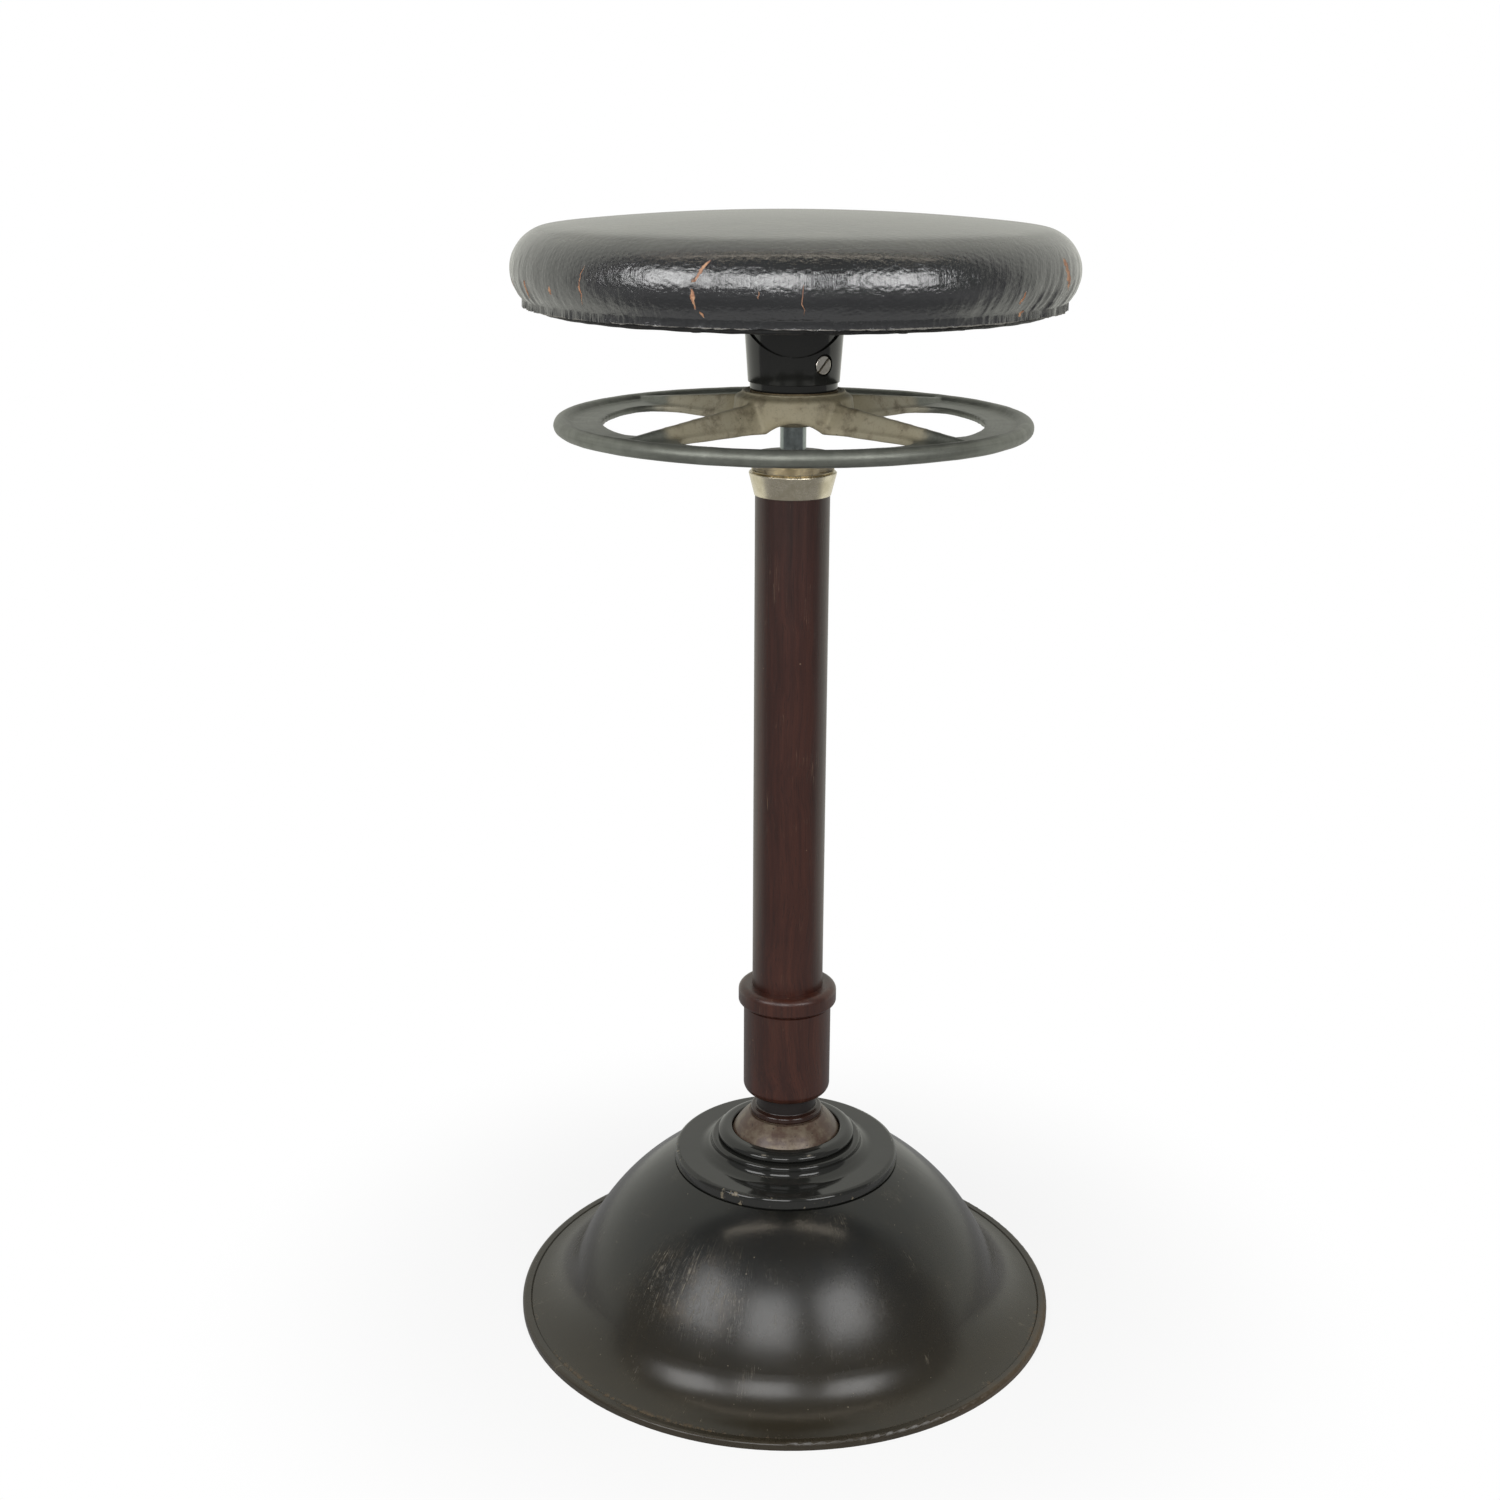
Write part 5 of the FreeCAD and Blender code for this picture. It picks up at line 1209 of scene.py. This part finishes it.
@dataclass
class StuffedSeat:
    """Board, stuffing and leather cover of the seat."""

    widest: float = level("seat_board", False) + 24.0 * MM
    shoulder: float = 29.0 * MM
    hem_in: float = 12.0 * MM
    slack: float = 2.0 * MM
    voxel: float = 5.0 * MM
    pressure: float = 4.0
    stiffness: float = 40.0
    bending: float = 5.0
    frames: int = 20
    held_low: float = 3.0 * MM
    held_share: float = 0.3
    most_moved: float = 2.0 * MM
    leather: float = 2.0 * MM
    lining_gap: float = 0.4 * MM
    board_gap: float = 0.3 * MM
    sides: int = 128
    board_radius: float = reach("seat_board")
    hem: float = level("seat_cover", False)
    hem_fine: float = 16.0 * MM
    hem_open: float = 4.0 * MM
    slant: float = 160.0
    fold_depth: float = 0.16
    fold_top: float = 16.0 * MM
    fold_run: float = 30.0 * MM
    calm_run: float = 9.0 * MM
    folds_round: float = 26.0
    folds_up: float = 14.0
    fill: float = 0.9
    strip_wave: float = 0.35 * MM
    strip_spacing: float = 12.0 * MM

    def build(self) -> None:
        """Models the padding and the leather, and dresses the board, strip and tacks."""
        BoardStain().dress("seat_board")
        leather = SeatLeather(widest=self.widest, crown=level("seat_cover", True),
                              radius=reach("seat_cover"), hem=self.hem)
        BLUED.dress("hem_tacks")
        form = self._form()
        self._stuff(form)
        form.modifier("SUBSURF", levels=1, render_levels=1)
        self._padding(form.copy("seat_padding"))
        self._cover(form, leather)
        self._strip()

    def _form(self) -> Workpiece:
        """Shapes the closed form of the cushion, a little small so that stuffing swells it.

        Returns:
            The form, remeshed for the cloth.
        """
        radius = reach("seat_cover")
        top = level("seat_cover", True) - self.slack
        shoulder_top = self.widest + self.shoulder - self.slack
        piece = Workpiece.cylinder("seat_leather", radius, self.widest, shoulder_top, self.sides)
        with piece.editing():
            piece.pick(Element.EDGE, lambda e: min(v.co.z for v in e.verts) > shoulder_top - MM)
            bpy.ops.mesh.bevel(offset=(shoulder_top - self.widest) * 0.999, segments=8, profile=0.5,
                               affect="EDGES")
            self._crown(piece, top - shoulder_top)
            self._draw_in(piece, radius)
            bpy.ops.mesh.select_all(action="SELECT")
            bpy.ops.mesh.normals_make_consistent(inside=False)
        piece.modifier("REMESH", mode="VOXEL", voxel_size=self.voxel)
        piece.modifier("SMOOTH", factor=0.5, iterations=2)
        return piece

    def _crown(self, piece: Workpiece, rise: float) -> None:
        """Raises the flat top of the form to a low crown, ring by ring.

        Args:
            piece: The form, in edit mode.
            rise: Height of the crown above the shoulder.
        """
        piece.pick(Element.FACE, lambda f: f.normal.z > 0.99 and len(f.verts) > 8)
        outer = reach("seat_cover") - self.shoulder + self.slack
        rings = 8
        for ring in range(rings):
            inner_share = (ring + 1) / (rings + 1)
            outer_share = ring / (rings + 1)
            bpy.ops.mesh.inset(thickness=outer / (rings + 1))
            lift = rise * ((1 - outer_share) ** 2 - (1 - inner_share) ** 2)
            bpy.ops.transform.translate(value=(0.0, 0.0, lift))

    def _draw_in(self, piece: Workpiece, radius: float) -> None:
        """Carries the side of the form down and in to the hem.

        Args:
            piece: The form, in edit mode.
            radius: Radius at the widest level.
        """
        piece.pick(Element.FACE, lambda f: f.normal.z < -0.99)
        steps = 5
        for step in range(1, steps + 1):
            share = step / steps
            before = radius - self.hem_in * ((step - 1) / steps) ** 2
            after = radius - self.hem_in * share ** 2
            bpy.ops.mesh.extrude_region_move(
                TRANSFORM_OT_translate={"value": (0.0, 0.0, (self.hem - self.widest) / steps)})
            bpy.ops.transform.resize(value=(after / before, after / before, 1.0))

    def _stuff(self, form: Workpiece) -> None:
        """Swells the form as stuffed leather by a short cloth run, held at the hem.

        Args:
            form: The remeshed form.
        """
        start = form.points()
        form.weigh("held", lambda co: 1.0 if co.z < self.hem + self.held_low else self.held_share)
        form.focus()
        cloth = form.obj.modifiers.new("Stuffing", "CLOTH")
        cloth.settings.vertex_group_mass = "held"
        cloth.settings.use_pressure = True
        cloth.settings.uniform_pressure_force = self.pressure
        cloth.settings.effector_weights.gravity = 0.0
        cloth.settings.tension_stiffness = self.stiffness
        cloth.settings.compression_stiffness = self.stiffness
        cloth.settings.bending_stiffness = self.bending
        scene = bpy.context.scene
        for number in range(1, self.frames + 1):
            scene.frame_set(number)
        bpy.ops.object.modifier_apply(modifier=cloth.name)
        scene.frame_set(1)
        for vert, rest in zip(form.obj.data.vertices, start):
            move = vert.co - rest
            if move.length > self.most_moved:
                vert.co = rest + move * (self.most_moved / move.length)
        form.obj.data.update()
        form.modifier("SMOOTH", factor=0.5, iterations=4)

    def _padding(self, piece: Workpiece) -> None:
        """Shapes the stuffing inside the leather and round the board.

        Args:
            piece: Copy of the stuffed form.
        """
        board_top = level("seat_board", True)
        board = Workpiece.cylinder("board_room", self.board_radius + self.board_gap,
                                   level("hem_tacks", False), board_top + self.board_gap, self.sides)
        piece.move_points(lambda co, normal: normal * -(self.leather + self.lining_gap))
        piece.modifier("BOOLEAN", operation="DIFFERENCE", object=board.obj, solver="EXACT")
        bpy.data.objects.remove(board.obj)
        piece.smooth()
        piece.place("seat", "stuffing", ["seat_stuffing"], Padding())

    def _cover(self, piece: Workpiece, leather: SeatLeather) -> None:
        """Turns the stuffed form into the leather cover: folds, a torn hem and its thickness.

        Args:
            piece: The stuffed form.
            leather: Finish of its outside.
        """
        with piece.editing():
            piece.pick(Element.FACE, lambda f: f.calc_center_median().z < self.hem + self.hem_fine)
            bpy.ops.mesh.subdivide(number_cuts=1)
        piece.move_points(lambda co, normal: normal * self._fold(co))
        with piece.editing():
            foot = self.hem + self.hem_open
            piece.pick(Element.FACE, lambda f: f.normal.z < -0.55 and f.calc_center_median().z < foot)
            bpy.ops.mesh.delete(type="FACE")
            piece.pick(Element.VERT, lambda v: not v.link_edges)
            bpy.ops.mesh.delete(type="VERT")
        for index in {v for e in self._open_edges(piece) for v in e}:
            self._tear(piece.obj.data.vertices[index])
        piece.modifier("SOLIDIFY", thickness=self.leather, offset=-1.0, use_rim=True, material_offset_rim=1,
                       material_offset=1)
        piece.smooth(50.0)
        piece.place("seat", "seat_leather", ["seat_cover"], leather, RawEdge())

    def _tear(self, vert: bpy.types.MeshVertex) -> None:
        """Brings a point of the open edge to the hem's level, raggedly and curling a little outward.

        Args:
            vert: The point.
        """
        ragged = noise.noise(vert.co / (5.0 * MM)) * 0.6 + noise.noise(vert.co / (21.0 * MM)) * 0.6
        vert.co.z = self.hem + ragged * MM
        curl = 0.5 + noise.noise(vert.co / (9.0 * MM)) * 0.7
        vert.co.xy += vert.co.xy.normalized() * (curl * MM)

    def _strip(self) -> None:
        """Models the leather strip under the hem, a little wavy."""
        piece = Workpiece.from_node("hem_binding", "hem_strip")
        with piece.editing():
            bpy.ops.mesh.select_all(action="SELECT")
            bpy.ops.mesh.subdivide(number_cuts=2)
        piece.move_points(lambda co, normal: noise.noise_vector(co / self.strip_spacing) * self.strip_wave)
        piece.smooth()
        piece.place("seat", "seat_leather", ["hem_strip"], BindingLeather())

    @staticmethod
    def _open_edges(piece: Workpiece) -> list[tuple[int, int]]:
        """Finds the edges of the mesh that have a single face.

        Args:
            piece: The piece.

        Returns:
            The two point numbers of each.
        """
        count: dict[tuple[int, int], int] = {}
        for face in piece.obj.data.polygons:
            for key in face.edge_keys:
                count[key] = count.get(key, 0) + 1
        return [key for key, faces in count.items() if faces == 1]

    def _fold(self, place: Vector) -> float:
        """Height of the leather's folds, which stand upright and lean on the stool's right.

        Args:
            place: A place on the leather.

        Returns:
            Metres that the leather stands out there.
        """
        if place.xy.length < 0.9 * self.board_radius:
            return 0.0
        turn = math.degrees(math.atan2(place.x, -place.y))
        depth = self.fold_depth
        for gather in GATHERS:
            depth += gather.depth * math.exp(-((turn - gather.turn_deg) / gather.spread_deg) ** 2)
        drop = (self.widest + self.fold_top - place.z) / self.fold_run
        calm = (place.z - self.hem) / self.calm_run + 0.2
        weight = max(0.0, min(1.0, drop, calm))
        turn -= (place.z - self.widest) * self.slant * max(0.0, math.sin(math.radians(turn)))
        angle = math.radians(turn)
        round_it = Vector((math.cos(angle), math.sin(angle), 0.0)) * self.folds_round
        round_it.z = place.z * self.folds_up
        ridge = 1.0 - 2.0 * abs(noise.noise(round_it))
        return (ridge - 0.6) * depth * weight * MM


@dataclass
class Studio:
    """White floor and surround, with three soft windows in front and a panel overhead."""

    floor_radius: float = 0.62
    floor_sides: int = 96
    window_turns: tuple[float, float, float] = (-49.0, -10.0, 36.0)
    window_size: tuple[float, float] = (0.74, 0.78)
    window_distance: float = 1.5
    window_level: float = 1.10
    strip_size: tuple[float, float] = (2.4, 0.07)
    strip_place: tuple[float, float, float] = (0.0, -0.36, 2.2)
    strip_glare: float = 5.0
    strip_colour: Rgb = (1.0, 0.89, 0.72)
    glare: float = 4.8
    ambient: float = 0.18
    front: float = 0.22
    front_low: float = 0.34
    back: Rgb = (0.78, 0.785, 0.72)
    low_band: tuple[float, float] = (-0.32, 0.30)
    back_edge: float = 0.15
    mirrored_floor: float = 0.33
    mirrored_share: float = 0.8
    shadow_reach: tuple[float, float] = (0.19, 0.45)
    shadow_share: float = 0.14
    floor_grey: Rgb = (0.86, 0.86, 0.86)
    aim_level: float = 0.5

    def build(self) -> None:
        """Lays the floor and sets the lights."""
        self._floor()
        self._world()
        aim = Vector((0.0, 0.0, self.aim_level))
        for turn in map(math.radians, self.window_turns):
            out = Vector((math.sin(turn), -math.cos(turn), 0.0)) * self.window_distance
            place = out + Vector((0.0, 0.0, self.window_level))
            lamp = self._lamp("window", place, self.window_size, self.glare)
            lamp.rotation_euler = (lamp.location - aim).to_track_quat("Z", "Y").to_euler()
        strip = self._lamp("strip", Vector(self.strip_place), self.strip_size, self.strip_glare)
        strip.data.color = self.strip_colour

    def _floor(self) -> None:
        """Round pale floor that keeps the stool's shadow and fades into the white surround."""
        bpy.ops.object.select_all(action="DESELECT")
        bpy.ops.mesh.primitive_circle_add(vertices=self.floor_sides, radius=self.floor_radius,
                                          fill_type="NGON")
        floor = bpy.context.active_object
        floor.name = "floor"
        made = bpy.data.materials.new("floor_white")
        made.use_nodes = True
        g = Graph(made.node_tree)
        x, y = g.split(g.place())[:2]
        radius = (x * x + y * y) ** 0.5
        paths = g.node("ShaderNodeLightPath").outputs
        mirrored = Signal(g, paths["Is Glossy Ray"]).larger(Signal(g, paths["Is Transmission Ray"]))
        camera = Signal(g, paths["Is Camera Ray"])
        seen = camera.larger(mirrored * self.mirrored_share)
        fade = radius.step(*self.shadow_reach) * self.shadow_share + (1.0 - self.shadow_share)
        matt = g.node("ShaderNodeBsdfDiffuse", inputs={"Color": self.floor_grey})
        strength = camera.larger(self.mirrored_floor)
        glow = g.node("ShaderNodeEmission", inputs={"Color": (1.0, 1.0, 1.0), "Strength": strength})
        both = g.node("ShaderNodeMixShader", inputs={0: seen * fade, 1: Signal(g, matt.outputs[0]),
                                                     2: Signal(g, glow.outputs[0])})
        g.node("ShaderNodeOutputMaterial", inputs={0: Signal(g, both.outputs[0])})
        floor.data.materials.append(made)

    def _world(self) -> None:
        """White surround to the eye; in reflections white behind the stool and dim in front of it."""
        world = bpy.data.worlds.new("studio")
        world.use_nodes = True
        g = Graph(world.node_tree)
        toward = Signal(g, g.node("ShaderNodeTexCoord").outputs["Generated"])
        y, z = g.split(toward)[1:]
        paths = g.node("ShaderNodeLightPath").outputs
        mirrored = Signal(g, paths["Is Glossy Ray"]).larger(Signal(g, paths["Is Transmission Ray"]))
        front = g.mix(z.near(*self.low_band), (self.front,) * 3, (self.front_low,) * 3)
        shade = g.mix(y.step(0.0, self.back_edge), front, self.back)
        colour = g.mix(mirrored, (self.ambient,) * 3, shade)
        colour = g.mix(Signal(g, paths["Is Camera Ray"]), colour, (1.0, 1.0, 1.0))
        made = g.node("ShaderNodeBackground", inputs={"Color": colour, "Strength": 1.0})
        g.node("ShaderNodeOutputWorld", inputs={0: Signal(g, made.outputs[0])})
        bpy.context.scene.world = world

    @staticmethod
    def _lamp(name: str, place: Vector, size: tuple[float, float], glare: float) -> bpy.types.Object:
        """Adds a soft rectangular light that faces down.

        Args:
            name: Name of the light.
            place: Where it stands.
            size: Its width and height.
            glare: Brightness of its face, where 1 is white.

        Returns:
            The light.
        """
        data = bpy.data.lights.new(name, "AREA")
        data.shape = "RECTANGLE"
        data.size, data.size_y = size
        data.energy = glare * math.pi * size[0] * size[1]
        lamp = bpy.data.objects.new(name, data)
        lamp.location = place
        lamp.visible_camera = False
        bpy.context.scene.collection.objects.link(lamp)
        return lamp


@dataclass
class PhotoCamera:
    """Camera at the photograph's place, solved from the rims of the seat, wheel and base."""

    location: tuple[float, float, float] = (-0.02667, -1.3004, 0.8105)
    pitch_deg: float = 17.095
    roll_deg: float = 0.263
    lens_mm: float = 48.83
    sensor_mm: float = 36.0

    def build(self) -> None:
        """Adds the camera and makes it the scene's."""
        data = bpy.data.cameras.new("photo_camera")
        data.lens = self.lens_mm
        data.sensor_width = self.sensor_mm
        data.clip_start = 0.01
        camera = bpy.data.objects.new("photo_camera", data)
        bpy.context.scene.collection.objects.link(camera)
        tip = Matrix.Rotation(math.radians(90.0 - self.pitch_deg), 4, "X")
        roll = Matrix.Rotation(math.radians(self.roll_deg), 4, "Z")
        camera.matrix_world = Matrix.Translation(self.location) @ tip @ roll
        bpy.context.scene.camera = camera


def main() -> None:
    """Builds the stool's parts in order, then the studio and camera."""
    logging.basicConfig(level=logging.INFO, format="%(name)s: %(message)s")
    bpy.context.scene.view_settings.view_transform = "Standard"
    stool = (BellBase(), LeaningColumn(), ScrewLift(), SeatSwivel(), StuffedSeat())
    for part in (*stool, Studio(), PhotoCamera()):
        part.build()
        LOG.info("%s done", type(part).__name__)


if __name__ == "__main__":
    main()
